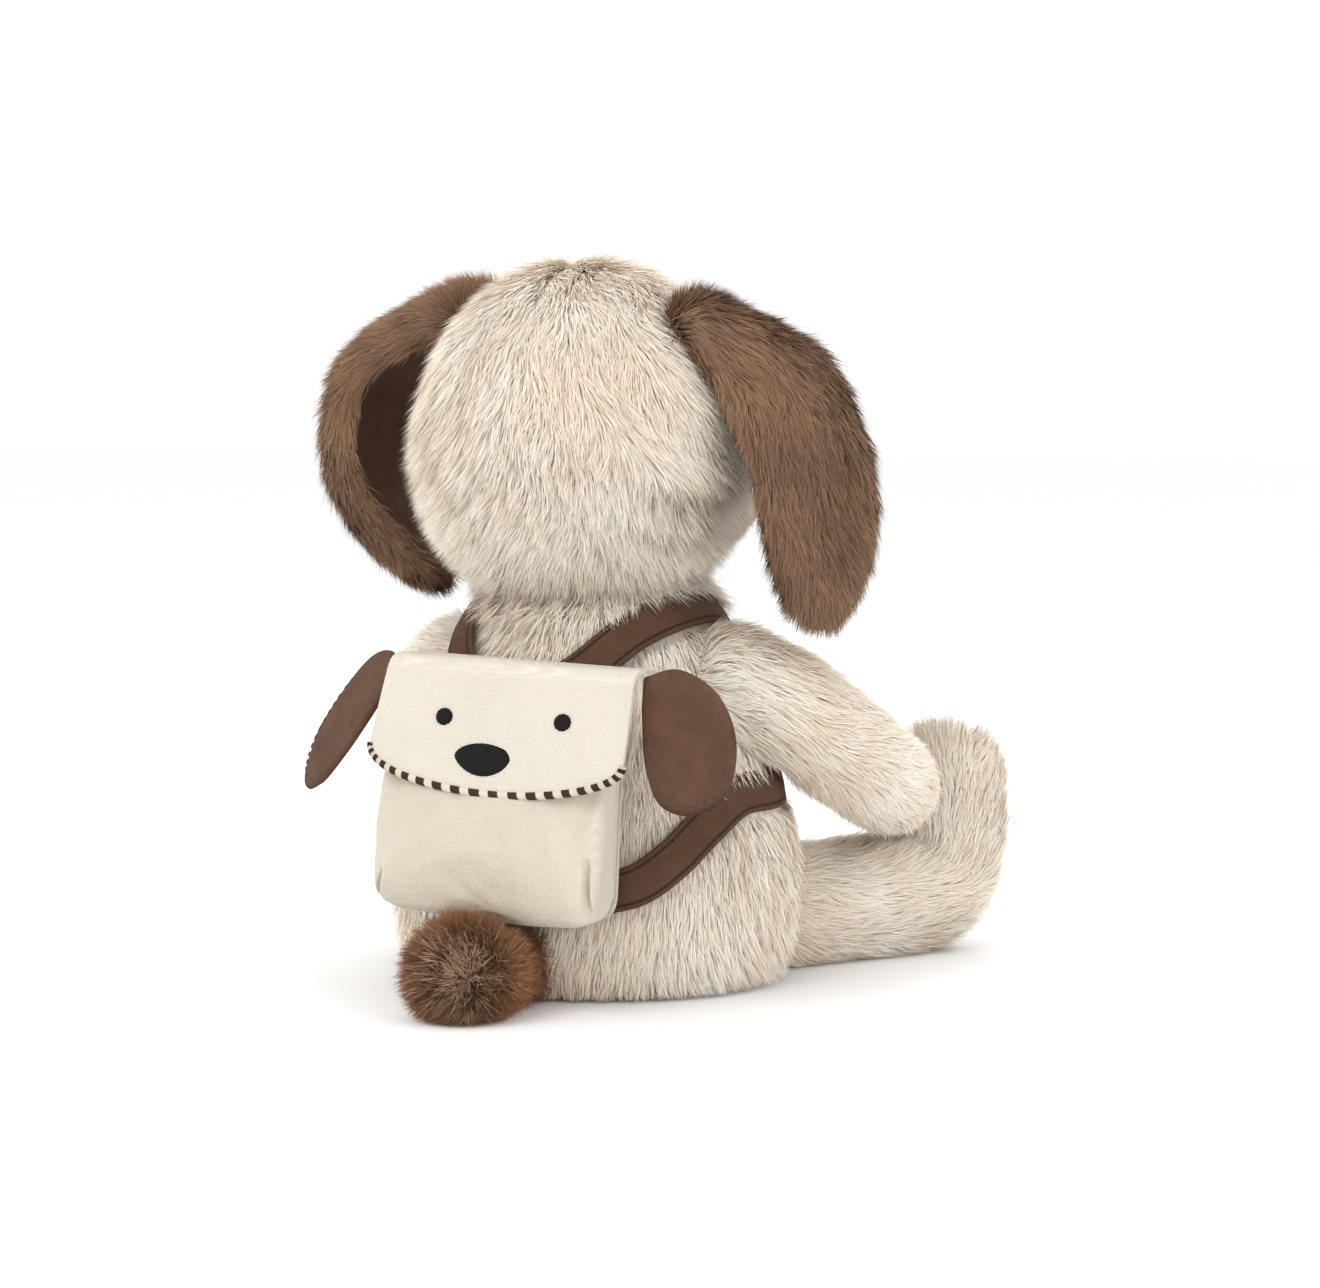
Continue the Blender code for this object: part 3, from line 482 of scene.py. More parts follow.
def fill_finish():
    """Loose white polyester fibre."""
    finish = Finish("fibre_fill", 1.0, Sheen_Weight=0.3)
    tufts = finish.noise(180.0, 6.0, 0.7, distortion=1.5)
    finish.colour(finish.mix(tufts, (0.62, 0.61, 0.59), (0.92, 0.92, 0.91)))
    finish.bump(tufts, 0.002, 0.8)
    return finish.material


def muslin_finish():
    """Thin muslin showing the round beads inside it."""
    finish = Finish("muslin", 0.9, Sheen_Weight=0.1)
    beads = finish.points(300.0)
    weave = finish.weave(0.0009)
    finish.colour(finish.mix(beads * 0.8, (0.80, 0.75, 0.66), (0.62, 0.56, 0.47)))
    finish.bump(weave * 0.2 - beads, 0.0008, 0.8)
    return finish.material


def nylon_finish():
    """Clear nylon with a slight haze."""
    finish = Finish("clear_nylon", 0.4)
    haze = finish.noise(150.0, 3.0)
    finish.colour(finish.mix(haze, (0.70, 0.70, 0.67), (0.82, 0.82, 0.80)))
    finish.roughness(0.32 + haze * 0.2)
    return finish.material


def closure_finish(name, colour):
    """Loops and hooks: a dense field of tiny raised points."""
    finish = Finish(name, 0.8)
    points = finish.points(1400.0)
    finish.colour(finish.mix(points, colour, scaled(colour, 0.45)))
    finish.bump(1.0 - points, 0.0005, 1.0)
    return finish.material


# ---- making pieces
def piece(name, bm, finish, body):
    """A piece from a bmesh already in its place, riding on a body."""
    mesh = bpy.data.meshes.new(name)
    bm.to_mesh(mesh)
    bm.free()
    mesh.materials.append(finish)
    mesh.shade_smooth()
    obj = bpy.data.objects.new(name, mesh)
    bpy.context.scene.collection.objects.link(obj)
    if body:
        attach(obj, body)
    return obj


def solidify(obj, thickness, offset=-1.0):
    modifier = obj.modifiers.new("thickness", "SOLIDIFY")
    modifier.thickness = thickness
    modifier.offset = offset


def subdivide(obj):
    modifier = obj.modifiers.new("smoothness", "SUBSURF")
    modifier.levels = 1
    modifier.render_levels = 1


def on_curve(a, b, c, d, t):
    """A share t of the way from b to c, on the smooth curve that also passes a and d."""
    bend = 2 * a - 5 * b + 4 * c - d + t * (3 * (b - c) + d - a)
    return b + 0.5 * t * (c - a + t * bend)


def spline(points, steps):
    """Points on a smooth curve through the given ones, any number of values each."""
    ends = [[2 * a - b for a, b in zip(*pair)] for pair in (points[:2], points[:-3:-1])]
    row = [ends[0], *points, ends[1]]
    smooth = []
    for i in range(len(points) - 1):
        for step in range(steps):
            smooth.append([on_curve(*four, step / steps) for four in zip(*row[i : i + 4])])
    smooth.append(list(points[-1]))
    return smooth


def ellipsoid(centre, radii, segments=56, rings=36):
    bm = bmesh.new()
    bmesh.ops.create_uvsphere(bm, u_segments=segments, v_segments=rings, radius=1.0)
    bmesh.ops.scale(bm, vec=radii, verts=bm.verts)
    bmesh.ops.translate(bm, vec=centre, verts=bm.verts)
    return bm


def cloth_grid(columns, rows, shape, steps_uv=(1.0, 1.0)):
    """An open sheet: a grid whose two shares, 0 to 1, are turned into places, with a cloth map."""
    bm = bmesh.new()
    bmesh.ops.create_grid(bm, x_segments=columns, y_segments=rows, size=1.0)
    layer = bm.loops.layers.uv.new("cloth")
    for face in bm.faces:
        for loop in face.loops:
            u, v = ((c + 1) / 2 for c in loop.vert.co.xy)
            loop[layer].uv = (u * steps_uv[0], v * steps_uv[1])
    for vert in bm.verts:
        vert.co = shape((vert.co.x + 1) / 2, (vert.co.y + 1) / 2)
    return bm


def face_towards(bm, way):
    """Turns an open sheet's faces so that they look the given way on the whole."""
    bmesh.ops.recalc_face_normals(bm, faces=bm.faces)
    if sum(f.normal.dot(way(f.calc_center_median())) * f.calc_area() for f in bm.faces) < 0:
        bmesh.ops.reverse_faces(bm, faces=bm.faces)
    return bm


def tube(rows, sides=10):
    """A round cord through rows of place and radius, with a cloth map of round and along."""
    rings = []
    bm = bmesh.new()
    layer = bm.loops.layers.uv.new("cloth")
    up = Vector((0.0, 0.0, 1.0))
    for i, (place, radius) in enumerate(rows):
        ahead = (rows[min(i + 1, len(rows) - 1)][0] - rows[max(i - 1, 0)][0]).normalized()
        across = ahead.cross(up)
        across = across.normalized() if across.length > 0.05 else Vector((1.0, 0.0, 0.0))
        turn = Matrix((across, across.cross(ahead), ahead)).transposed().to_4x4()
        ring = bmesh.ops.create_circle(
            bm, segments=sides, radius=radius, matrix=Matrix.Translation(place) @ turn
        )["verts"]
        rings.append(ring)
    for i, (first, second) in enumerate(zip(rings, rings[1:])):
        both = first + second
        edges = {e for v in both for e in v.link_edges if e.other_vert(v) in both}
        edges = [e for e in edges if (e.verts[0] in first) == (e.verts[1] in first)]
        for face in bmesh.ops.bridge_loops(bm, edges=edges)["faces"]:
            for loop in face.loops:
                ring, along = (first, i) if loop.vert in first else (second, i + 1)
                loop[layer].uv = (ring.index(loop.vert) / sides, along / (len(rings) - 1))
    for ring in (rings[0], rings[-1]):
        bmesh.ops.contextual_create(bm, geom=ring)
    bmesh.ops.recalc_face_normals(bm, faces=bm.faces)
    return bm


def round_end(rows):
    """Adds a half ball past the last row, in steps of the angle round it."""
    (before, _), (last, radius) = rows[-2:]
    ahead = (last - before).normalized()
    cap = []
    for degrees in (14, 28, 42, 54, 65, 75, 83):
        angle = math.radians(degrees)
        cap.append((last + ahead * radius * math.sin(angle), radius * math.cos(angle)))
    return rows + cap


def sausage(route, radii, side=1.0):
    """A closed stuffed tube along a route, with round ends."""
    rows = spline([(*p, r) for p, r in zip(route, radii)], 5)
    rows = [(Vector((side * x, y, z)), r) for x, y, z, r in rows]
    rows = round_end(round_end(rows[::-1])[::-1])
    return tube(rows, sides=28)


def torso_radius(height):
    """The torso's radius at a height, as a share of the hip radius."""
    rows = TORSO_ROWS
    for (low, z0), (high, z1) in zip(rows, rows[1:]):
        if z0 <= height <= z1:
            return low + (high - low) * (height - z0) / (z1 - z0)
    return rows[-1][0]


def torso_point(degrees, height, lift=0.0):
    """A point on the torso, and the way out of it there."""
    angle = math.radians(degrees)
    share = torso_radius(height)
    slope = (torso_radius(height + 0.002) - torso_radius(height - 0.002)) / 0.004
    across = Vector((math.cos(angle) / TORSO_WIDTH, math.sin(angle) / TORSO_DEPTH, 0.0))
    normal = Vector((across.x, across.y, -slope)).normalized()
    x = share * TORSO_WIDTH * math.cos(angle)
    y = share * TORSO_DEPTH * math.sin(angle)
    return Vector((x, y, height)) + normal * lift, normal


TORSO_ROWS = spline(TORSO_PROFILE, 6)


def torso_form():
    bm = bmesh.new()
    rows = [(0.0, 0.0), *TORSO_ROWS, (0.0, TORSO_ROWS[-1][1])]
    verts = [bm.verts.new((share * TORSO_WIDTH, 0.0, height)) for share, height in rows]
    edges = [bm.edges.new(pair) for pair in zip(verts, verts[1:])]
    bmesh.ops.spin(
        bm,
        geom=verts + edges,
        cent=(0.0, 0.0, 0.0),
        axis=(0.0, 0.0, 1.0),
        angle=2 * math.pi,
        steps=72,
        use_merge=True,
        use_duplicate=False,
    )
    bmesh.ops.remove_doubles(bm, verts=bm.verts, dist=0.00002)
    bmesh.ops.scale(bm, vec=(1.0, TORSO_DEPTH / TORSO_WIDTH, 1.0), verts=bm.verts)
    bmesh.ops.recalc_face_normals(bm, faces=bm.faces)
    return bm


# ---- ear forms
def ear_slope(side, share):
    if share < 0:
        return math.radians(EAR_SLOPES[side][0] - share * EAR_ROOT_CURL)
    rows = EAR_ROWS[side]
    at = min(share, 1.0) * (len(rows) - 1)
    low = min(int(at), len(rows) - 2)
    return math.radians(rows[low][0] + (rows[low + 1][0] - rows[low][0]) * (at - low))


EAR_ROWS = {side: spline([(a,) for a in slopes], 6) for side, slopes in EAR_SLOPES.items()}


def ear_line(side, share):
    """The ear's middle line at a share of its length: place, way along it and way out of it."""
    turn = math.radians(EAR_TURN[side])
    outward = Vector((SIDES[side] * math.cos(turn), -math.sin(turn), 0.0))
    up = Vector((0.0, 0.0, 1.0))
    place = Vector(EAR_ROOT[side])
    steps = max(1, round(abs(share) * 48))
    for step in range(steps):
        slope = ear_slope(side, share * (step + 0.5) / steps)
        way = outward * math.cos(slope) + up * math.sin(slope)
        place += way * EAR_LENGTH[side] * share / steps
    slope = ear_slope(side, share)
    along = outward * math.cos(slope) + up * math.sin(slope)
    out = up * math.cos(slope) - outward * math.sin(slope)
    return place, along, out


def ear_half_width(share):
    root = min(1.0, 0.84 + 0.5 * share)
    tip = max(0.0, (share - 0.60) / 0.42)
    return EAR_WIDTH / 2 * root * math.sqrt(1 - tip**2)


def ear_sheet(side, depth, start, columns, rows, trim=0.0):
    """The ear's cloth as an open sheet, at a depth under its outer face."""
    turn = math.radians(EAR_TURN[side])
    backward = Vector((SIDES[side] * math.sin(turn), math.cos(turn), 0.0))
    lines = {}

    def shape(u, v):
        share = start + (1.0 - start) * u
        if u not in lines:
            lines[u] = ear_line(side, share)
        place, _, out = lines[u]
        twist = math.radians(EAR_TWIST[side]) * max(0.0, min(1.0, share / 0.25))
        width = backward * math.cos(twist) - out * math.sin(twist)
        crown = out * math.cos(twist) + backward * math.sin(twist)
        across = (v - 0.5) * 2
        half = max(0.0005, ear_half_width(max(share, 0.0)) - trim)
        return place + width * across * half - crown * (EAR_CUP * across**2 + depth)

    bm = cloth_grid(columns, rows, shape, (1.0, 0.33))
    middle = ear_line(side, 0.5)[0] - ear_line(side, 0.5)[2] * 0.05
    return face_towards(bm, lambda place: place - middle)


# ---- pile
def neighbours(own):
    """The frame's solids at rest, but for a part's own, to look for what lies close over it."""
    verts, faces = [], []
    for name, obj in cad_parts.items():
        if name.startswith(own):
            continue
        start = len(verts)
        verts += [v.co.copy() for v in obj.data.vertices]
        faces += [[start + i for i in p.vertices] for p in obj.data.polygons]
    return BVHTree.FromPolygons(verts, faces)


REACH = 0.010  # how far a look outwards from the cloth goes
OPEN_ENOUGH = 0.35  # share of a clear 2 mm above the cloth, below which no pile grows
LOCK_SIZE = 0.0058
ROOT_DEPTH = 0.0006
STEEPEST = 78.0  # degrees off the cloth where the comb runs straight out of it
GROUND = 0.0006


def headroom(solids, place, normal):
    """How far a point on a surface sees outwards before it meets another part."""
    hit = solids.ray_cast(place + normal * 0.0007, normal, REACH)
    return REACH if hit[3] is None else hit[3]


def final_mesh(obj):
    """The mesh that a piece's modifiers give, as arrays."""
    made = obj.evaluated_get(bpy.context.evaluated_depsgraph_get()).to_mesh()
    made.calc_loop_triangles()
    count = len(made.vertices)
    places = np.empty(count * 3)
    normals = np.empty(count * 3)
    corners = np.empty(len(made.loop_triangles) * 3, dtype=np.int64)
    made.vertices.foreach_get("co", places)
    made.vertices.foreach_get("normal", normals)
    made.loop_triangles.foreach_get("vertices", corners)
    return places.reshape(-1, 3), normals.reshape(-1, 3), corners.reshape(-1, 3)


def unit(rows):
    return rows / np.maximum(np.linalg.norm(rows, axis=1, keepdims=True), 1e-9)


def drift(places, seed, lengths=(0.011, 0.026, 0.06)):
    """Smooth wandering vectors, the same for neighbouring places."""
    rng = np.random.default_rng(seed)
    total = np.zeros_like(places)
    for length in lengths:
        for _ in range(3):
            way = rng.normal(size=3)
            way *= 2 * math.pi / (length * np.linalg.norm(way))
            total += np.sin(places @ way + rng.uniform(0, 6.3))[:, None] * rng.normal(size=3)
    return total / 3.0


def lock_centres(places, size, seed):
    """Each place's nearest point of a jittered lattice: the lock of pile it belongs to."""
    cell = np.floor(places / size)
    nearest = np.full(len(places), np.inf)
    centre = places.copy()
    for step in np.ndindex(3, 3, 3):
        corner = cell + (np.array(step) - 1.0)
        mixed = corner @ np.array([[12.9, 39.3, 73.1], [78.2, 11.1, 52.2], [37.7, 83.1, 9.4]])
        jitter = np.abs(np.modf(np.sin(mixed + seed) * 43758.5453)[0])
        candidate = (corner + jitter) * size
        gap = ((candidate - places) ** 2).sum(axis=1)
        closer = gap < nearest
        nearest[closer] = gap[closer]
        centre[closer] = candidate[closer]
    return centre


class Pile:
    """Long tapered blades sown over a base form, combed, gathered into locks and coloured."""

    bends = ((0.50, 40.0), (0.50, 11.0))  # share of the length, and its angle off the cloth
    stray = 0.10
    gather = 40.0
    sway = 0.26
    width = 0.00031
    ground = None

    def __init__(self, name, coat, length, count, comb, seed, own):
        self.name = name
        light, deep, self.finish, self.slot = coat
        self.light = np.array(light)
        self.deep = np.array(deep)
        self.solids = neighbours(own)
        self.length = length
        self.count = count
        self.comb = comb
        self.seed = seed

    def sow(self, base, keep=None):
        """Roots spread evenly over the open part of a base, with their normals and headroom."""
        count = self.count
        places, normals, corners = final_mesh(base)
        rng = np.random.default_rng(self.seed)
        pairs = zip(places, normals)
        room = np.array([headroom(self.solids, Vector(place), Vector(way)) for place, way in pairs])
        a, b, c = (places[corners[:, i]] for i in range(3))
        area = np.linalg.norm(np.cross(b - a, c - a), axis=1)
        open_share = np.clip(room[corners].mean(axis=1) / 0.002, 0.0, 1.0)
        weight = area * (open_share > OPEN_ENOUGH)
        if keep is not None:
            weight = weight * keep((a + b + c) / 3)
        total = np.cumsum(weight)
        picked = np.searchsorted(total, rng.random(count) * total[-1])
        picked = np.minimum(picked, len(corners) - 1)
        share = rng.random((count, 2))
        share = np.where(share.sum(axis=1, keepdims=True) > 1, 1 - share, share)
        blend = np.column_stack([1 - share.sum(axis=1), share])
        corner = corners[picked]
        root = np.einsum("ij,ijk->ik", blend, places[corner])
        normal = unit(np.einsum("ij,ijk->ik", blend, normals[corner]))
        free = np.einsum("ij,ij->i", blend, room[corner])
        return rng, root, normal, free

    def grow(self, base, body, keep=None):
        """Makes the blades as one piece that rides with a body."""
        count = self.count
        rng, root, normal, free = self.sow(base, keep)
        brushed = unit(self.comb(root, normal))
        upright = np.clip((brushed * normal).sum(axis=1) / 0.65 - 0.30, 0.0, 1.0)
        flow = brushed + self.sway * drift(root, self.seed)
        flow = unit(flow - (flow * normal).sum(axis=1, keepdims=True) * normal)
        lock = lock_centres(root, LOCK_SIZE, self.seed)
        pull = lock - root
        pull -= (pull * normal).sum(axis=1, keepdims=True) * normal
        own = rng.normal(size=(count, 3)) * self.stray
        press = np.clip(free / 0.0060, 0.22, 1.0)
        length = self.length * rng.uniform(0.70, 1.12, count) * (0.55 + 0.45 * press)
        spot = root - normal * ROOT_DEPTH
        spots = [spot]
        for i, (share, lift) in enumerate(self.bends):
            angle = math.radians(lift) * press * rng.uniform(0.75, 1.2, count)
            angle = angle + (math.radians(STEEPEST) - angle) * upright
            way = normal * np.sin(angle)[:, None] + flow * np.cos(angle)[:, None]
            way = unit(way + own + pull * (self.gather * (i + 0.5)))
            spot = spot + way * (length * share)[:, None]
            if self.ground is not None:
                spot[:, 2] = np.maximum(spot[:, 2], self.ground)
            spots.append(spot)
        spots = self.cut_back(np.stack(spots, axis=1), normal)
        self.make(rng, spots, normal, lock, body)

    def cut_back(self, spots, normal):
        """Shortens each blade that would run into a strap, the bag or another part."""
        start = spots[:, 0] + normal * 0.0016
        chord = spots[:, 2] - spots[:, 0]
        reach = np.linalg.norm(chord, axis=1)
        left = np.ones(len(spots))
        for i, (place, way, far) in enumerate(zip(start.tolist(), chord.tolist(), reach.tolist())):
            hit = self.solids.ray_cast(Vector(place), Vector(way), far)[3]
            if hit is not None:
                left[i] = 0.85 * hit / far if hit > 0.45 * far else 0.05
        return spots[:, :1] + (spots - spots[:, :1]) * left[:, None, None]

    def make(self, rng, spots, normal, lock, body):
        count = len(spots)
        along = unit(spots[:, 2] - spots[:, 0])
        across = unit(np.cross(along, normal))
        twist = rng.uniform(-0.7, 0.7, count)[:, None]
        across = across * np.cos(twist) + np.cross(along, across) * np.sin(twist)
        taper = self.width * np.array([1.0, 0.82]) / 2
        breadth = rng.uniform(0.75, 1.25, count)[:, None, None]
        half = across[:, None, :] * taper[None, :, None] * breadth
        verts = np.empty((count, 5, 3))
        verts[:, 0:4:2] = spots[:, :2] - half
        verts[:, 1:4:2] = spots[:, :2] + half
        verts[:, 4] = spots[:, 2]
        mesh = self.lay_faces(verts, count)
        self.colour(mesh, rng, spots, lock)
        self.lay_out(mesh, count)
        mesh.materials.append(self.finish)
        mesh.shade_smooth()
        self.soften(mesh, np.cross(across, along), normal)
        obj = bpy.data.objects.new(self.name, mesh)
        bpy.context.scene.collection.objects.link(obj)
        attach(obj, body)

    def lay_faces(self, verts, count):
        """A quad and a pointed triangle over the five corners of each blade."""
        mesh = bpy.data.meshes.new(self.name)
        mesh.vertices.add(count * 5)
        mesh.vertices.foreach_set("co", verts.ravel())
        each = np.arange(count)[:, None]
        mesh.loops.add(count * 7)
        corners = each * 5 + np.array([0, 1, 3, 2, 2, 3, 4])
        mesh.loops.foreach_set("vertex_index", corners.ravel())
        mesh.polygons.add(count * 2)
        mesh.polygons.foreach_set("loop_start", (each * 7 + np.array([0, 4])).ravel())
        mesh.update(calc_edges=True)
        return mesh

    def soften(self, mesh, facing, normal):
        """Shades each blade mostly as the form it lies on, so that the pile reads as one coat."""
        facing = facing * np.sign((facing * normal).sum(axis=1, keepdims=True))
        shading = unit(facing * 0.45 + normal * 0.55)
        mesh.normals_split_custom_set_from_vertices(np.repeat(shading, 5, axis=0))

    def colour(self, mesh, rng, spots, lock):
        """A tint for each blade, with painted shade: deeper at its root and paler at its tip."""
        count = len(spots)
        patch = drift(spots[:, 0] * np.array([1.0, 1.0, 0.5]), 77, (0.012, 0.03, 0.07))[:, 0]
        tuft = drift(lock * 7.0, 5, (0.02, 0.05))[:, 1]
        tone = 0.62 + 0.22 * patch + 0.12 * tuft + rng.normal(0, 0.13, count)
        tone = np.clip(tone, 0.0, 1.15)[:, None]
        base = self.deep + (self.light - self.deep) * tone
        # painted shade along each blade: darkest at the root inside the pile, palest at the tip
        shade = np.array([0.88, 0.88, 0.97, 0.97, 1.06])
        tint = np.ones((count, 5, 4))
        tint[:, :, :3] = np.clip(base[:, None, :] * shade[None, :, None], 0.0, 1.0)
        layer = mesh.color_attributes.new("tint", "FLOAT_COLOR", "POINT")
        layer.data.foreach_set("color", tint.ravel())

    def lay_out(self, mesh, count):
        """One small cell of the bake map for each blade."""
        side = math.ceil(math.sqrt(count))
        column, row = np.arange(count) % side, np.arange(count) // side
        u = np.array([0.2, 0.8, 0.8, 0.2, 0.2, 0.8, 0.5])
        v = np.array([0.06, 0.06, 0.52, 0.52, 0.52, 0.52, 0.94])
        spots = np.stack([column[:, None] + u, row[:, None] + v], axis=2) / side
        layer = mesh.uv_layers.new(name="OFBake")
        layer.data.foreach_set("uv", spots.astype(np.float32).ravel())


def away_from(pole, down=0.0):
    """Pile that is brushed away from a point, and a little downwards."""
    pole = np.array(pole)
    return lambda root, normal: unit(root - pole) + np.array([0.0, 0.0, -down])


def along_line(points):
    """Pile that is brushed the way a line of points runs."""
    points = np.array(points)
    ways = unit(np.gradient(points, axis=0))

    def comb(root, normal):
        nearest = ((root[:, None, :] - points[None]) ** 2).sum(axis=2).argmin(axis=1)
        return ways[nearest]

    return comb


def limb_line(route, side):
    return [(side * x, y, z) for x, y, z in spline(route, 5)]


# ---- finishes
CREAM_PILE = pile_finish("cream_pile", (0.92, 0.86, 0.78))
BROWN_PILE = pile_finish("brown_pile", (0.42, 0.31, 0.24))
CREAM_COAT = (CREAM_LIGHT, CREAM_DEEP, CREAM_PILE, "plush_cream")
BROWN_COAT = (BROWN_LIGHT, BROWN_DEEP, BROWN_PILE, "plush_brown")
# the tail's brown pile, painted lighter to offset the shade among its blades
TAIL_PAINTED_LIGHT_COAT = (TAIL_PAINTED_LIGHT_PALE, TAIL_PAINTED_LIGHT_DEEP, BROWN_PILE, "plush_brown")
CREAM_BACKING = backing_finish("cream_backing", CREAM_LIGHT, (0.74, 0.62, 0.49))
BROWN_BACKING = backing_finish("brown_backing", BROWN_LIGHT, BROWN_DEEP)
BRUSHED_LINING = lining_finish()
CANVAS_CLOTH = canvas_finish("canvas_cloth", CANVAS_PALE, CANVAS_SHADE)
# the flap's canvas with painted shade, for the pouch and its back panel
PAINTED_SHADE_CANVAS = canvas_finish("canvas_with_painted_shade", PAINTED_SHADE_PALE, PAINTED_SHADE_DEEP)
COTTON_TWILL = cotton_finish()
STRAP_TWILL = strap_finish()
SATIN_STITCH = satin_finish()
BEAD_GLOSS = bead_finish()
STRIPED_PIPING = piping_finish()
BROWN_THREAD = thread_finish("brown_thread", (0.070, 0.038, 0.027))
FIBRE_FILL = fill_finish()
MUSLIN = muslin_finish()
CLEAR_NYLON = nylon_finish()
LOOP_PILE = closure_finish("loop_pile", (0.70, 0.64, 0.54))
HOOK_PILE = closure_finish("hook_pile", (0.13, 0.08, 0.055))
HIDDEN_FINISHES = {
    "stuffing": FIBRE_FILL,
    "bead_pouch": MUSLIN,
    "eye_washer": CLEAR_NYLON,
    "closure_loop_patch": LOOP_PILE,
    "closure_hook_patch": HOOK_PILE,
}


# ---- body and limbs
def stuffed(name, form, backing, body, nodes):
    """A sewn and stuffed form in its backing cloth, standing for the frame's skins."""
    obj = piece(name, form, backing, body)
    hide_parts(*nodes)
    return obj


def make_torso():
    skins = ("torso_skin_left", "torso_skin_right")
    base = stuffed("torso_cloth", torso_form(), CREAM_BACKING, "torso", skins)
    comb = away_from((0.0, 0.0, 0.30), down=0.6)
    for half, seed, keep in (
        ("back", 11, lambda place: place[:, 1] >= 0.0),
        ("front", 12, lambda place: place[:, 1] < 0.0),
    ):
        pile = Pile(f"torso_pile_{half}", CREAM_COAT, *TORSO_PILE, comb, seed, ("torso_",))
        pile.ground = GROUND
        pile.grow(base, "torso", keep)
    neck = Pile("neck_pile", CREAM_COAT, *NECK_PILE, comb, 17, ("torso_",))
    neck.bends = ((0.5, 62.0), (0.5, 20.0))
    neck.grow(base, "torso", lambda place: place[:, 2] > NECK_START)


def make_head():
    skins = ("head_skin_left", "head_skin_right")
    form = ellipsoid(HEAD_CENTRE, HEAD_RADII + Vector((0.0010,) * 3))
    base = stuffed("head_cloth", form, CREAM_BACKING, "head", skins)
    comb = away_from((0.0, 0.010, 0.232), down=0.35)
    for half, seed, keep in (
        ("left", 21, lambda place: place[:, 0] >= 0.0),
        ("right", 22, lambda place: place[:, 0] < 0.0),
    ):
        pile = Pile(f"head_pile_{half}", CREAM_COAT, *HEAD_PILE, comb, seed, ("head_",))
        pile.bends = ((0.5, 27.0), (0.5, 7.0))
        pile.grow(base, "head", keep)


def make_muzzle():
    form = ellipsoid(MUZZLE_CENTRE, MUZZLE_RADII, 44, 28)
    base = stuffed("muzzle_cloth", form, CREAM_BACKING, "head", ("muzzle_skin",))
    tip = MUZZLE_CENTRE + Vector((0.0, -MUZZLE_RADII.y, MUZZLE_RADII.z * 0.3))
    pile = Pile("muzzle_pile", CREAM_COAT, *MUZZLE_PILE, away_from(tip), 31, ("muzzle_",))
    pile.bends = ((0.5, 40.0), (0.5, 12.0))
    pile.grow(base, "head")


def make_limb(kind, side, seed):
    route, radii, size = LIMBS[kind]
    name = f"{kind}_{side}"
    skin = f"{kind}_skin_{side}"
    form = sausage(route, radii, SIDES[side])
    base = stuffed(f"{kind}_cloth_{side}", form, CREAM_BACKING, name, (skin,))
    comb = along_line(limb_line(route, SIDES[side]))
    own = (skin, f"{kind}_stuffing_{side}")
    pile = Pile(f"{kind}_pile_{side}", CREAM_COAT, *size, comb, seed, own)
    pile.ground = GROUND
    pile.grow(base, name)


def make_tail():
    form = sausage(TAIL_ROUTE, TAIL_RADII)
    base = stuffed("tail_cloth", form, BROWN_BACKING, "tail", ("tail_skin",))
    comb = along_line(limb_line(TAIL_ROUTE, 1.0))
    pile = Pile("tail_pile", TAIL_PAINTED_LIGHT_COAT, *TAIL_PILE, comb, 61, ("tail_",))
    pile.ground = GROUND
    pile.bends = ((0.5, 60.0), (0.5, 40.0))
    pile.stray = 0.18
    pile.grow(base, "tail")


def make_ear(side, seed):
    body = f"ear_{side}"
    plush = f"ear_plush_{side}"
    sheet = ear_sheet(side, 0.0, EAR_ROOT_SHARE, 30, 14)
    base = stuffed(f"ear_cloth_{side}", sheet, BROWN_BACKING, body, (plush,))
    solidify(base, EAR_PLUSH)
    bpy.context.view_layer.update()
    shares = np.linspace(EAR_ROOT_SHARE, 1.0, 30)
    comb = along_line([ear_line(side, share)[0][:] for share in shares])
    own = (plush, f"ear_lining_{side}")
    pile = Pile(f"ear_pile_{side}", BROWN_COAT, *EAR_PILE, comb, seed, own)
    pile.bends = ((0.5, 44.0), (0.5, 15.0))
    pile.grow(base, body, clear_of(make_lining(side)))


def clear_of(lining):
    """Keeps pile off the face that a lining is sewn to."""
    bpy.context.view_layer.update()
    tree = BVHTree.FromObject(lining, bpy.context.evaluated_depsgraph_get())

    def keep(places):
        return np.array([tree.find_nearest(Vector(place))[3] > LINING_CLEAR for place in places])

    return keep


def make_lining(side):
    sheet = ear_sheet(side, EAR_PLUSH + LINING_GAP, -0.02, 34, 16, trim=0.0012)
    for vert in sheet.verts:
        place = vert.co.copy()
        vert.co += Vector((0, 0, 1)) * 0.0004 * math.sin(place.y * 900 + place.z * 260)
    lining = piece(f"ear_lining_cloth_{side}", sheet, BRUSHED_LINING, f"ear_{side}")
    solidify(lining, LINING)
    subdivide(lining)
    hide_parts(f"ear_lining_{side}")
    return lining


# ---- face
def head_surface(x, z):
    across = (x - HEAD_CENTRE.x) / HEAD_RADII.x
    up = (z - HEAD_CENTRE.z) / HEAD_RADII.z
    y = HEAD_CENTRE.y - HEAD_RADII.y * math.sqrt(1 - across**2 - up**2)
    place = Vector((x, y, z))
    normal = Vector(a / r**2 for a, r in zip(place - HEAD_CENTRE, HEAD_RADII)).normalized()
    return place, normal


def make_eyes():
    for side, sign in SIDES.items():
        place, out = head_surface(sign * EYE_SPREAD, EYE_HEIGHT)
        form = ellipsoid(place + out * EYE_LIFT, Vector((EYE_RADIUS,) * 3), 32, 24)
        eye = piece(f"eye_bead_{side}", form, BEAD_GLOSS, "head")
        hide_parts(f"eye_{side}")


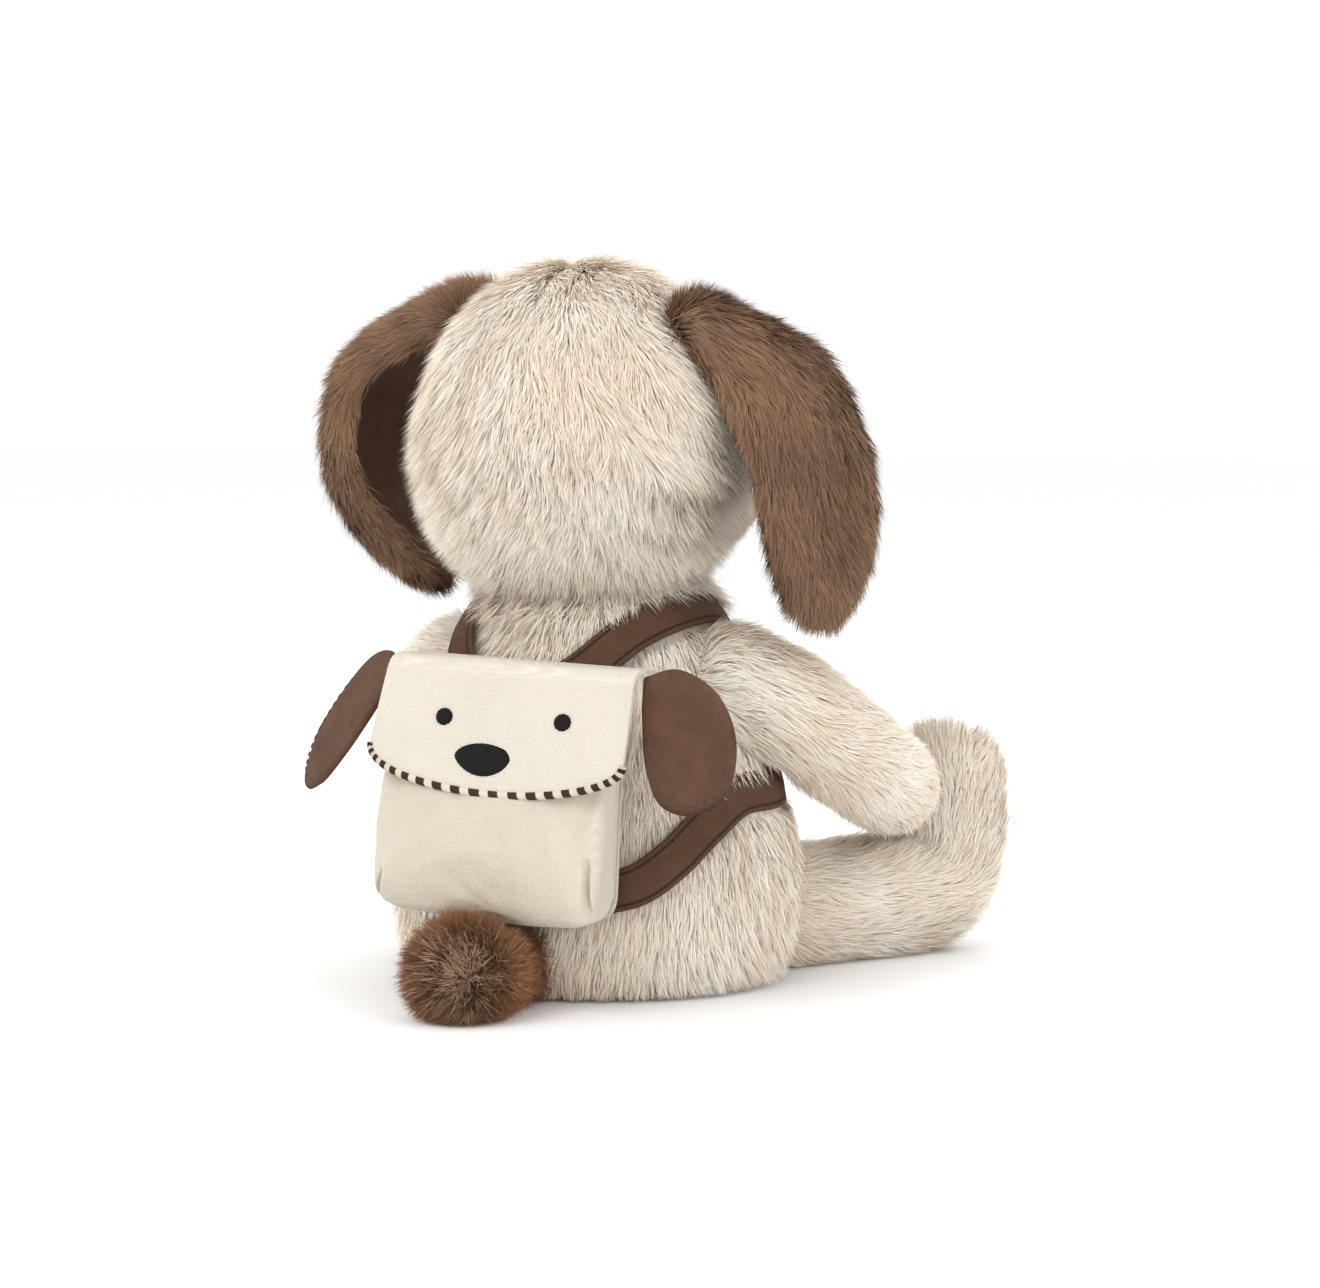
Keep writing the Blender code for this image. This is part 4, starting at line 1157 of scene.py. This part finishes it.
def make_nose():
    form = ellipsoid(Vector(), NOSE_RADII, 40, 26)
    layer = form.loops.layers.uv.new("cloth")
    for vert in form.verts:
        if vert.co.z < 0:
            vert.co.x *= 1.0 - 0.42 * (-vert.co.z / NOSE_RADII.z) ** 1.3
    for face in form.faces:
        for loop in face.loops:
            x, _, z = loop.vert.co
            loop[layer].uv = (x / NOSE_RADII.x / 2, z / NOSE_RADII.z / 2)
    at = MUZZLE_CENTRE + Vector((0.0, -MUZZLE_RADII.y * 0.985 - 0.0006, MUZZLE_RADII.z * 0.26))
    bmesh.ops.translate(form, vec=at, verts=form.verts)
    nose = piece("stitched_nose", form, SATIN_STITCH, "head")
    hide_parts("nose")


def make_mouth():
    grown = MUZZLE_RADII + Vector((MOUTH_LIFT,) * 3)

    def on_muzzle(x, z):
        y = -math.sqrt(1 - x**2 - z**2)
        return MUZZLE_CENTRE + Vector((x * grown.x, y * grown.y, z * grown.z))

    smile = []
    for step in range(25):
        across = (step / 24 - 0.5) * 2
        smile.append((on_muzzle(across * 0.42, -0.42 + 0.17 * across**2), MOUTH_RADIUS))
    mouth = piece("mouth_thread", tube(smile), BROWN_THREAD, "head")
    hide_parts("mouth_stitching")
    fall = [(on_muzzle(0.0, 0.02 - 0.44 * t), MOUTH_RADIUS) for t in np.linspace(0, 1, 9)]
    piece("mouth_fall", tube(fall), BROWN_THREAD, "head")


# ---- backpack
def bag_matrix():
    turn = Matrix.Rotation(BAG_ROLL, 4, "Y") @ Matrix.Rotation(BAG_TILT, 4, "X")
    return Matrix.Translation(BAG_PLACE) @ turn


def front_direction():
    """Down the pouch's slanting front, and out of it, in the bag's own frame."""
    down = Vector((0.0, BAG_DEPTH - BAG_MOUTH, -BAG_HEIGHT)).normalized()
    return down, Vector((0.0, -down.z, down.y))


def pouch_block():
    """The filled pouch as a wedge with rounded folds, drawn in a little at its ends."""
    bm = bmesh.new()
    bmesh.ops.create_cube(bm, size=1.0)
    middle = (0, BAG_DEPTH / 2, BAG_HEIGHT / 2 + MOUTH_WASTE / 2)
    bmesh.ops.scale(bm, vec=(BAG_WIDTH, BAG_DEPTH, BAG_HEIGHT + MOUTH_WASTE), verts=bm.verts)
    bmesh.ops.translate(bm, vec=middle, verts=bm.verts)
    for vert in bm.verts:
        if vert.co.y > 0.001 and vert.co.z > 0.001:
            vert.co.y = BAG_MOUTH
    uprights = [e for e in bm.edges if all(v.co.y > 0.001 for v in e.verts) and span(e).z > 0.01]
    low = [e for e in bm.edges if all(v.co.z < 0.001 for v in e.verts)]
    hems = [e for e in low if span(e).x <= 0.01]
    fold = [e for e in low if all(v.co.y > 0.001 for v in e.verts)]
    bmesh.ops.bevel(
        bm,
        geom=uprights + hems + fold,
        offset=CORNER,
        offset_type="OFFSET",
        segments=5,
        profile=0.5,
        affect="EDGES",
        material=-1,
    )
    return bm


def span(edge):
    """How far an edge reaches along each axis."""
    return Vector(abs(a - b) for a, b in zip(edge.verts[0].co, edge.verts[1].co))


def belly(place):
    """Draws the pouch in at its foot and mouth, and lets it sag a little to its left."""
    share = max(0.0, min(1.0, place.z / BAG_HEIGHT))
    width = 0.88 + 0.12 * math.sin(math.pi * min(1.0, 0.10 + share * 0.82)) ** 0.7
    width *= 1.0 - 0.13 * max(0.0, 1.0 - place.y / 0.019)
    sag = POUCH_SAG * math.sin(math.pi * share) + 0.0004
    return Vector((place.x * width + sag, place.y, place.z))


CLOTH_FRAMES = 20
CLOTH_SETTINGS = {
    "quality": 6,
    "mass": 0.12,
    "tension_stiffness": 22,
    "compression_stiffness": 22,
    "shear_stiffness": 6,
    "bending_stiffness": 0.35,
    "use_pressure": True,
    "uniform_pressure_force": 4.0,
    "vertex_group_mass": "held",
}


def inflate(obj, pinned, cap):
    """Blows cloth out a little by simulation, holding the pinned points and capping the rest."""
    before = [v.co.copy() for v in obj.data.vertices]
    group = obj.vertex_groups.new(name="held")
    group.add([i for i, place in enumerate(before) if pinned(place)], 1.0, "REPLACE")
    cloth = obj.modifiers.new("cloth", "CLOTH")
    for setting, value in CLOTH_SETTINGS.items():
        setattr(cloth.settings, setting, value)
    cloth.settings.effector_weights.gravity = 0.0
    scene = bpy.context.scene
    for step in range(1, CLOTH_FRAMES + 1):
        scene.frame_set(step)
    made = obj.evaluated_get(bpy.context.evaluated_depsgraph_get())
    moved = [v.co.copy() for v in made.data.vertices]
    obj.modifiers.remove(cloth)
    scene.frame_set(1)
    for vert, old, new in zip(obj.data.vertices, before, moved):
        shift = new - old
        vert.co = old + shift * min(1.0, cap / max(shift.length, 1e-9))


def off_line(vert, start, end):
    """A vertex's share along a line drawn across and up the bag, and how far off it is."""
    first, last = Vector(start), Vector(end)
    line = last - first
    here = Vector((vert.co.x, vert.co.z)) - first
    share = max(0.0, min(1.0, here.dot(line) / line.length_squared))
    return share, (here - line * share).length


def on_front(verts):
    return [vert for vert in verts if vert.co.y > BAG_MOUTH * 0.6]


def crease(verts, start, end, depth, width):
    """Presses a soft valley into the front, along a line."""
    for vert in on_front(verts):
        share, off = off_line(vert, start, end)
        fade = math.sin(math.pi * (0.10 + 0.80 * share))
        vert.co.y -= depth * fade * math.exp(-((off / width) ** 2))


def applied(obj):
    """Puts what an object's modifiers give into its own mesh."""
    made = bpy.data.meshes.new_from_object(obj.evaluated_get(bpy.context.evaluated_depsgraph_get()))
    obj.modifiers.clear()
    obj.data = made


def refine(bm, start, end):
    """Splits the cloth's edges near a line finely enough to take a sewn crease."""
    near = {vert for vert in on_front(bm.verts) if off_line(vert, start, end)[1] < DART_REACH}
    edges = [edge for edge in bm.edges if near.issuperset(edge.verts)]
    bmesh.ops.subdivide_edges(bm, edges=edges, cuts=2, use_grid_fill=True)


def press_folds(verts):
    """The pouch's corner darts and the slack folds of its front."""
    for dart in DARTS:
        crease(verts, *dart, 0.0032, 0.00070)
        crease(verts, *dart, -0.0007, 0.0022)
    for fold in FOLDS:
        crease(verts, *fold)
    for vert in on_front(verts):
        x, _, z = vert.co
        vert.co.y += 0.00028 * math.sin(x * 260 + z * 90) * math.sin(z * 210 - x * 60)


def pinned(place):
    """Where the pouch is held while it fills: its back, its mouth and its gussets' middles."""
    on_gusset = abs(abs(place.x) - BAG_WIDTH / 2) < 0.0012 and abs(place.y - 0.012) < 0.0014
    return place.y < 0.0015 or place.z > BAG_HEIGHT - 0.002 or on_gusset


def finish_pouch(bm):
    """Gives the filled pouch its sag, darts and folds, opens its mouth and back, and places it."""
    for vert in bm.verts:
        vert.co = belly(vert.co)
    for dart in DARTS:
        refine(bm, *dart)
    press_folds(bm.verts)
    for place, normal in (((0, 0, BAG_HEIGHT), (0, 0, 1)), ((0, 0.0006, 0), (0, -1, 0))):
        bmesh.ops.bisect_plane(
            bm,
            geom=[*bm.verts, *bm.edges, *bm.faces],
            plane_co=place,
            plane_no=normal,
            dist=0.00002,
            clear_outer=True,
        )
    bmesh.ops.transform(bm, matrix=bag_matrix(), verts=bm.verts)
    centre = bag_matrix() @ Vector((0, BAG_DEPTH / 3, BAG_HEIGHT / 2))
    face_towards(bm, lambda place: place - centre)


def make_pouch():
    obj = piece("pouch_cloth", pouch_block(), PAINTED_SHADE_CANVAS, None)
    remesh = obj.modifiers.new("remesh", "REMESH")
    remesh.mode = "VOXEL"
    remesh.voxel_size = POUCH_VOXEL
    bpy.context.view_layer.update()
    applied(obj)
    inflate(obj, pinned, POUCH_SWELL)
    subdivide(obj)
    bpy.context.view_layer.update()
    applied(obj)
    bm = bmesh.new()
    bm.from_mesh(obj.data)
    finish_pouch(bm)
    bm.to_mesh(obj.data)
    bm.free()
    obj.data.materials.clear()
    obj.data.materials.append(PAINTED_SHADE_CANVAS)
    obj.data.shade_smooth()
    solidify(obj, CANVAS)
    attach(obj, "torso")
    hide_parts("backpack_pouch")


def make_back_panel():
    """A flat panel behind the pouch, cut to the pouch's own outline, with rounded foot corners."""

    def shape(u, v):
        z = BAG_HEIGHT * v
        corner = CORNER - math.sqrt(max(0.0, CORNER**2 - max(0.0, CORNER - z) ** 2))
        x = (u - 0.5) * (BAG_WIDTH - 2 * corner)
        place = belly(Vector((x, 0.0, z)))
        place.y = -0.0004
        return place

    bm = cloth_grid(40, 40, shape)
    bmesh.ops.transform(bm, matrix=bag_matrix(), verts=bm.verts)
    face_towards(bm, lambda place: Vector((0.0, 1.0, 0.0)))
    panel = piece("back_panel_cloth", bm, PAINTED_SHADE_CANVAS, "torso")
    solidify(panel, CANVAS)
    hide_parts("backpack_back_panel")


def flap_length(across):
    edge = math.sqrt(max(0.0, 1 - across**2))
    drop = FLAP_SIDE_DROP + (FLAP_DROP - FLAP_SIDE_DROP) * edge**0.9
    return BAG_MOUTH + FLAP_STANDOFF + drop


def flap_place(across, along, lift=0.0):
    """A place on the flap in the bag's frame: over the top, round the fold and down the front."""
    down, out = front_direction()
    turn = BAG_MOUTH + FLAP_STANDOFF
    top = BAG_HEIGHT + 0.0008
    half = FLAP_WIDTH / 2 * (0.965 + 0.045 * min(1.0, along / 0.045))
    flat = Vector((0.0, 1.0, 0.0))
    rise = Vector((0.0, 0.0, 1.0))
    corner = Vector((0.0, turn, top))
    bend = math.acos(max(-1.0, min(1.0, flat.dot(down))))
    reach = FOLD_RADIUS * math.tan(bend / 2)
    if along < turn - reach:
        place, way = Vector((0.0, along, top)), rise
    elif along > turn + reach:
        place, way = corner + down * (along - turn), out
    else:
        share = (along - (turn - reach)) / (2 * reach)
        angle = bend * share
        centre = corner - flat * reach - rise * FOLD_RADIUS
        way = rise * math.cos(angle) + flat * math.sin(angle)
        place = centre + way * FOLD_RADIUS
    wave = 0.00045 * math.sin(across * 5.0 + along * 90.0) * min(1.0, along / 0.02)
    place = place + way * (lift + wave)
    place.x = across * half - 0.0016 * max(0.0, 1 - along / 0.05)
    return place


def make_flap():
    def shape(u, v):
        across = math.sin((u - 0.5) * math.pi)
        return flap_place(across, v * flap_length(across))

    bm = cloth_grid(48, 34, shape)
    bmesh.ops.transform(bm, matrix=bag_matrix(), verts=bm.verts)
    face_towards(bm, lambda place: Vector((0.0, 1.0, 0.8)))
    flap = piece("flap_cloth", bm, CANVAS_CLOTH, "flap")
    solidify(flap, CANVAS, offset=1.0)
    rounding = flap.modifiers.new("edges", "BEVEL")
    rounding.width = 0.0004
    rounding.segments = 2
    rounding.limit_method = "ANGLE"
    rounding.angle_limit = math.radians(50)
    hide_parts("backpack_flap")
    make_piping()


def make_piping():
    rows = []
    for step in range(61):
        across = math.sin((step / 60 - 0.5) * math.pi * 0.98)
        place = flap_place(across, flap_length(across) + PIPING_RADIUS * 0.7, CANVAS / 2)
        rows.append((bag_matrix() @ place, PIPING_RADIUS))
    piping = piece("piping_cord", tube(rows, sides=14), STRIPED_PIPING, "flap")
    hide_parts("flap_piping")


def sew(name, line, body):
    """A row of short stitches along a line of places."""
    bm = bmesh.new()
    run = [0.0]
    for a, b in zip(line, line[1:]):
        run.append(run[-1] + (b - a).length)
    size = Matrix.Diagonal((STITCH_RADIUS, STITCH_RADIUS, STITCH_LENGTH * 0.52, 1.0))
    at = 0.0
    while at + STITCH_LENGTH < run[-1]:
        ends = [place_at(line, run, at), place_at(line, run, at + STITCH_LENGTH)]
        way = (ends[1] - ends[0]).to_track_quat("Z", "Y").to_matrix().to_4x4()
        place = Matrix.Translation((ends[0] + ends[1]) / 2)
        made = bmesh.ops.create_uvsphere(bm, u_segments=6, v_segments=5, radius=1.0)["verts"]
        bmesh.ops.transform(bm, matrix=place @ way @ size, verts=made)
        at += STITCH_PITCH
    piece(name, bm, BROWN_THREAD, body)


def place_at(line, run, at):
    for a, b, r0, r1 in zip(line, line[1:], run, run[1:]):
        if at <= r1:
            return a + (b - a) * ((at - r0) / max(r1 - r0, 1e-9))
    return line[-1]


def pillow(outline, thickness, rim, matrix, columns):
    """A doubled cloth or raised stitching: two bulged faces that meet at an outline."""
    bm = bmesh.new()
    layer = bm.loops.layers.uv.new("cloth")
    for face_sign in (1.0, -1.0):
        made = bmesh.ops.create_grid(bm, x_segments=columns, y_segments=columns, size=1.0)["verts"]
        for vert in made:
            u, v = vert.co.x, vert.co.y
            x, y = u * math.sqrt(1 - v * v / 2), v * math.sqrt(1 - u * u / 2)
            reach = min(1.0, math.hypot(x, y))
            edge = outline(math.atan2(y, x))
            bulge = rim + (thickness - rim) * max(0.0, 1 - reach**3) ** 0.5
            bulge = 0.0 if reach > 0.999 else bulge
            vert.co = (edge * reach).to_3d() + Vector((0, 0, face_sign * bulge / 2))
    for face in bm.faces:
        for loop in face.loops:
            loop[layer].uv = (loop.vert.co.x * 100, loop.vert.co.y * 100)
    bmesh.ops.remove_doubles(bm, verts=bm.verts, dist=0.00001)
    bmesh.ops.recalc_face_normals(bm, faces=bm.faces)
    bmesh.ops.transform(bm, matrix=matrix, verts=bm.verts)
    return bm


def oval(width, height, ragged):
    """An outline for a pillow: an ellipse with a slightly uneven edge."""

    def outline(angle):
        edge = 1.0 + ragged * math.sin(angle * 13.0) * 0.5 + ragged * math.sin(angle * 29.0) * 0.5
        return Vector((math.cos(angle) * width / 2 * edge, math.sin(angle) * height / 2 * edge))

    return outline


def on_flap(across, drop):
    """Turns and moves a flat piece onto the flap's outer face."""
    down, out = front_direction()
    along = BAG_MOUTH + FLAP_STANDOFF + drop
    place = flap_place(across, along, CANVAS + 0.0001)
    turn = Matrix((Vector((-1, 0, 0)), -down, out)).transposed().to_4x4()
    return bag_matrix() @ Matrix.Translation(place) @ turn


def make_flap_face():
    spread = 0.0202 / (FLAP_WIDTH / 2)
    for side, sign in SIDES.items():
        place = on_flap(sign * spread - 0.02, 0.0172 - 0.0006 * (1 - sign))
        form = pillow(oval(0.0057, 0.0052, 0.05), 0.0011, 0.0005, place, 12)
        eye = piece(f"flap_eye_stitching_{side}", form, SATIN_STITCH, "flap")
        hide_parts(f"flap_eye_{side}")
    form = pillow(nose_outline, 0.0014, 0.0005, on_flap(0.08, 0.0285), 18)
    nose = piece("flap_nose_stitching", form, SATIN_STITCH, "flap")
    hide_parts("flap_nose")


def nose_outline(angle):
    """A soft nose: broad and flat above, narrowing below."""
    x = math.cos(angle) * 0.0099
    y = math.sin(angle) * (0.0044 if math.sin(angle) > 0 else 0.0054)
    if y < 0:
        x *= 1 - 0.22 * (-y / 0.0054)
    ragged = 1 + 0.012 * math.sin(angle * 31)
    return Vector((x * ragged, y * ragged))


def bag_ear_outline(size):
    rows = spline([*BAG_EAR_OUTLINE, BAG_EAR_OUTLINE[0]], 8)
    centre = BAG_EAR_CENTRE * size
    points = [Vector((x, -y)) * size - centre for x, y in rows]
    angles = np.unwrap([math.atan2(p.y, p.x) for p in points])
    if angles[-1] < angles[0]:
        angles, points = angles[::-1], points[::-1]
    reach = [p.length for p in points]

    def outline(angle):
        turns = angle
        while turns < angles[0]:
            turns += 2 * math.pi
        while turns > angles[-1]:
            turns -= 2 * math.pi
        far = float(np.interp(turns, angles, reach))
        return Vector((math.cos(angle), math.sin(angle))) * far + centre

    return outline


def bag_ear_root(side):
    spread, drop = BAG_EAR_ROOT[side]
    across = SIDES[side] * (FLAP_WIDTH / 2 + spread)
    return bag_matrix() @ Vector((across, BAG_MOUTH * 0.55, BAG_HEIGHT + 0.001 - drop))


def make_bag_ear(side):
    sign = SIDES[side]
    splay, twist, size = BAG_EAR[side]
    stand = Matrix.Rotation(math.pi / 2, 4, "X")
    face = Matrix.Rotation(math.pi if sign < 0 else 0.0, 4, "Z")
    turn = Matrix.Rotation(-sign * math.radians(twist), 4, "Z")
    lean = Matrix.Rotation(-sign * math.radians(splay), 4, "Y")
    matrix = Matrix.Translation(bag_ear_root(side)) @ lean @ turn @ face @ stand
    outline = bag_ear_outline(size)
    form = pillow(outline, BAG_EAR_THICKNESS, BAG_EAR_RIM, matrix, 26)
    body = f"bag_ear_{side}"
    ear = piece(f"bag_ear_cloth_{side}", form, COTTON_TWILL, body)
    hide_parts(f"backpack_ear_{side}")
    centre = BAG_EAR_CENTRE * size
    for face_sign, where in ((1, "outer"), (-1, "inner")):
        line = []
        for angle in np.linspace(0.0, 2 * math.pi, 90):
            edge = outline(angle) - centre
            reach = 1 - BAG_EAR_HEM / edge.length
            flat = centre + edge * reach
            crown = (BAG_EAR_THICKNESS - BAG_EAR_RIM) * max(0.0, 1 - reach**3) ** 0.5
            bulge = BAG_EAR_RIM + crown
            line.append(matrix @ Vector((flat.x, flat.y, face_sign * bulge / 2)))
        sew(f"bag_ear_stitches_{where}_{side}", line, body)


def make_strap(side):
    sign = SIDES[side]
    rows = spline(STRAP_ROUTE, 9)
    places = [torso_point(degrees, height, lift) for degrees, height, lift in rows]
    last = len(places) - 1

    def shape(u, v):
        i = round(v * last)
        place, normal = places[i]
        ahead = places[min(i + 1, last)][0] - places[max(i - 1, 0)][0]
        across = ahead.cross(normal).normalized()
        share = (u - 0.5) * 2
        folded = STRAP_HEM if abs(share) > 0.72 else 0.0
        lift = folded - STRAP_CROWN * share**2
        here = place + across * (share * STRAP_WIDTH / 2) + normal * lift
        return Vector((here.x * sign, here.y, here.z))

    bm = cloth_grid(10, last, shape, (1.0, 0.30))
    face_towards(bm, lambda place: place - Vector((0, 0, 0.085)))
    strap = piece(f"strap_cloth_{side}", bm, STRAP_TWILL, "torso")
    solidify(strap, STRAP_THICKNESS, offset=1.0)
    subdivide(strap)
    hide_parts(f"strap_{side}")
    length = sum((b[0] - a[0]).length for a, b in zip(places, places[1:]))


def make_backpack():
    make_pouch()
    make_back_panel()
    make_flap()
    make_flap_face()
    for side in SIDES:
        make_bag_ear(side)
        make_strap(side)


# ---- hidden and small parts
def make_seat_panel():
    bm = bmesh.new()
    bmesh.ops.create_circle(bm, cap_ends=True, segments=64, radius=1.0)
    bmesh.ops.scale(bm, vec=(0.70 * TORSO_WIDTH, 0.70 * TORSO_DEPTH, 1.0), verts=bm.verts)
    for width, rise in ((0.0016, 0.0), (0.0006, 0.0005), (0.0010, -0.0005), (0.010, 0.0)):
        middle = max(bm.faces, key=lambda face: face.calc_area())
        bmesh.ops.inset_region(bm, faces=[middle], thickness=width)
        bmesh.ops.translate(bm, vec=(0, 0, rise), verts=middle.verts)
    bmesh.ops.reverse_faces(bm, faces=bm.faces)
    panel = piece("seat_panel_cloth", bm, CREAM_BACKING, "torso")
    solidify(panel, 0.0012)
    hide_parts("seat_panel")


def finish_hidden_nodes():
    """Better materials for the frame's own fillings, beads, washers and closure."""
    for name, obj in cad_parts.items():
        for part, finish in HIDDEN_FINISHES.items():
            if part in name:
                for slot in obj.material_slots:
                    slot.material = finish


# ---- studio
FLOOR_SIZE = 9.0
SKY_STRENGTH = 1.04
LIGHT_SIZE = 1.2
LIGHT_AIM = Vector((0, 0, 0.1))
LIGHTS = (  # name, place, watts
    ("key_light", (0.2, 1.5, 1.5), 14.0),
    ("side_light", (-1.7, 0.6, 0.9), 6.0),
    ("front_light", (0.4, -1.6, 1.2), 7.0),
)
CAMERA_AZIMUTH = math.radians(208.0)
CAMERA_ELEVATION = math.radians(4.0)
CAMERA_DISTANCE = 1.1
CAMERA_ANGLE = math.radians(21.3)
CAMERA_TARGET = Vector((0.0, 0.0, 0.104))
CAMERA_ASIDE = 0.020


def make_floor():
    bm = bmesh.new()
    bmesh.ops.create_grid(bm, x_segments=1, y_segments=1, size=FLOOR_SIZE)
    finish = Finish("studio_floor", 0.9)
    haze = finish.noise(0.8, 2.0)
    finish.colour(finish.mix(haze, (0.945, 0.945, 0.945), (0.955, 0.955, 0.955)))
    floor = piece("studio_floor", bm, finish.material, None)


def make_light(name, place, power):
    data = bpy.data.lights.new(name, "AREA")
    data.shape = "DISK"
    data.size = LIGHT_SIZE
    data.energy = power
    lamp = bpy.data.objects.new(name, data)
    lamp.location = place
    lamp.rotation_euler = (LIGHT_AIM - Vector(place)).to_track_quat("-Z", "Y").to_euler()
    bpy.context.scene.collection.objects.link(lamp)


def make_studio():
    make_floor()
    world = bpy.data.worlds.new("studio")
    world.use_nodes = True
    background = world.node_tree.nodes["Background"].inputs
    background["Color"].default_value = (1.0, 1.0, 1.0, 1.0)
    background["Strength"].default_value = SKY_STRENGTH
    bpy.context.scene.world = world
    for light in LIGHTS:
        make_light(*light)
    bpy.context.scene.view_settings.view_transform = "Standard"


def make_camera():
    azimuth, level = CAMERA_AZIMUTH, math.cos(CAMERA_ELEVATION)
    aside = Vector((math.cos(azimuth), math.sin(azimuth), 0.0))
    way = Vector((aside.y * level, -aside.x * level, math.sin(CAMERA_ELEVATION)))
    data = bpy.data.cameras.new("studio_camera")
    data.sensor_fit = "HORIZONTAL"
    data.angle = CAMERA_ANGLE
    data.clip_start = 0.02
    camera = bpy.data.objects.new("studio_camera", data)
    camera.location = CAMERA_TARGET + aside * CAMERA_ASIDE + way * CAMERA_DISTANCE
    camera.rotation_euler = (-way).to_track_quat("-Z", "Y").to_euler()
    bpy.context.scene.collection.objects.link(camera)
    bpy.context.scene.camera = camera


# ---- assembly
make_camera()
make_studio()
make_backpack()
make_torso()
make_head()
make_muzzle()
for limb_side, limb_seed in (("left", 41), ("right", 51)):
    make_limb("arm", limb_side, limb_seed)
    make_limb("leg", limb_side, limb_seed + 1)
    make_ear(limb_side, limb_seed + 2)
make_tail()
make_eyes()
make_nose()
make_mouth()
make_seat_panel()
finish_hidden_nodes()

bpy.context.view_layer.update()
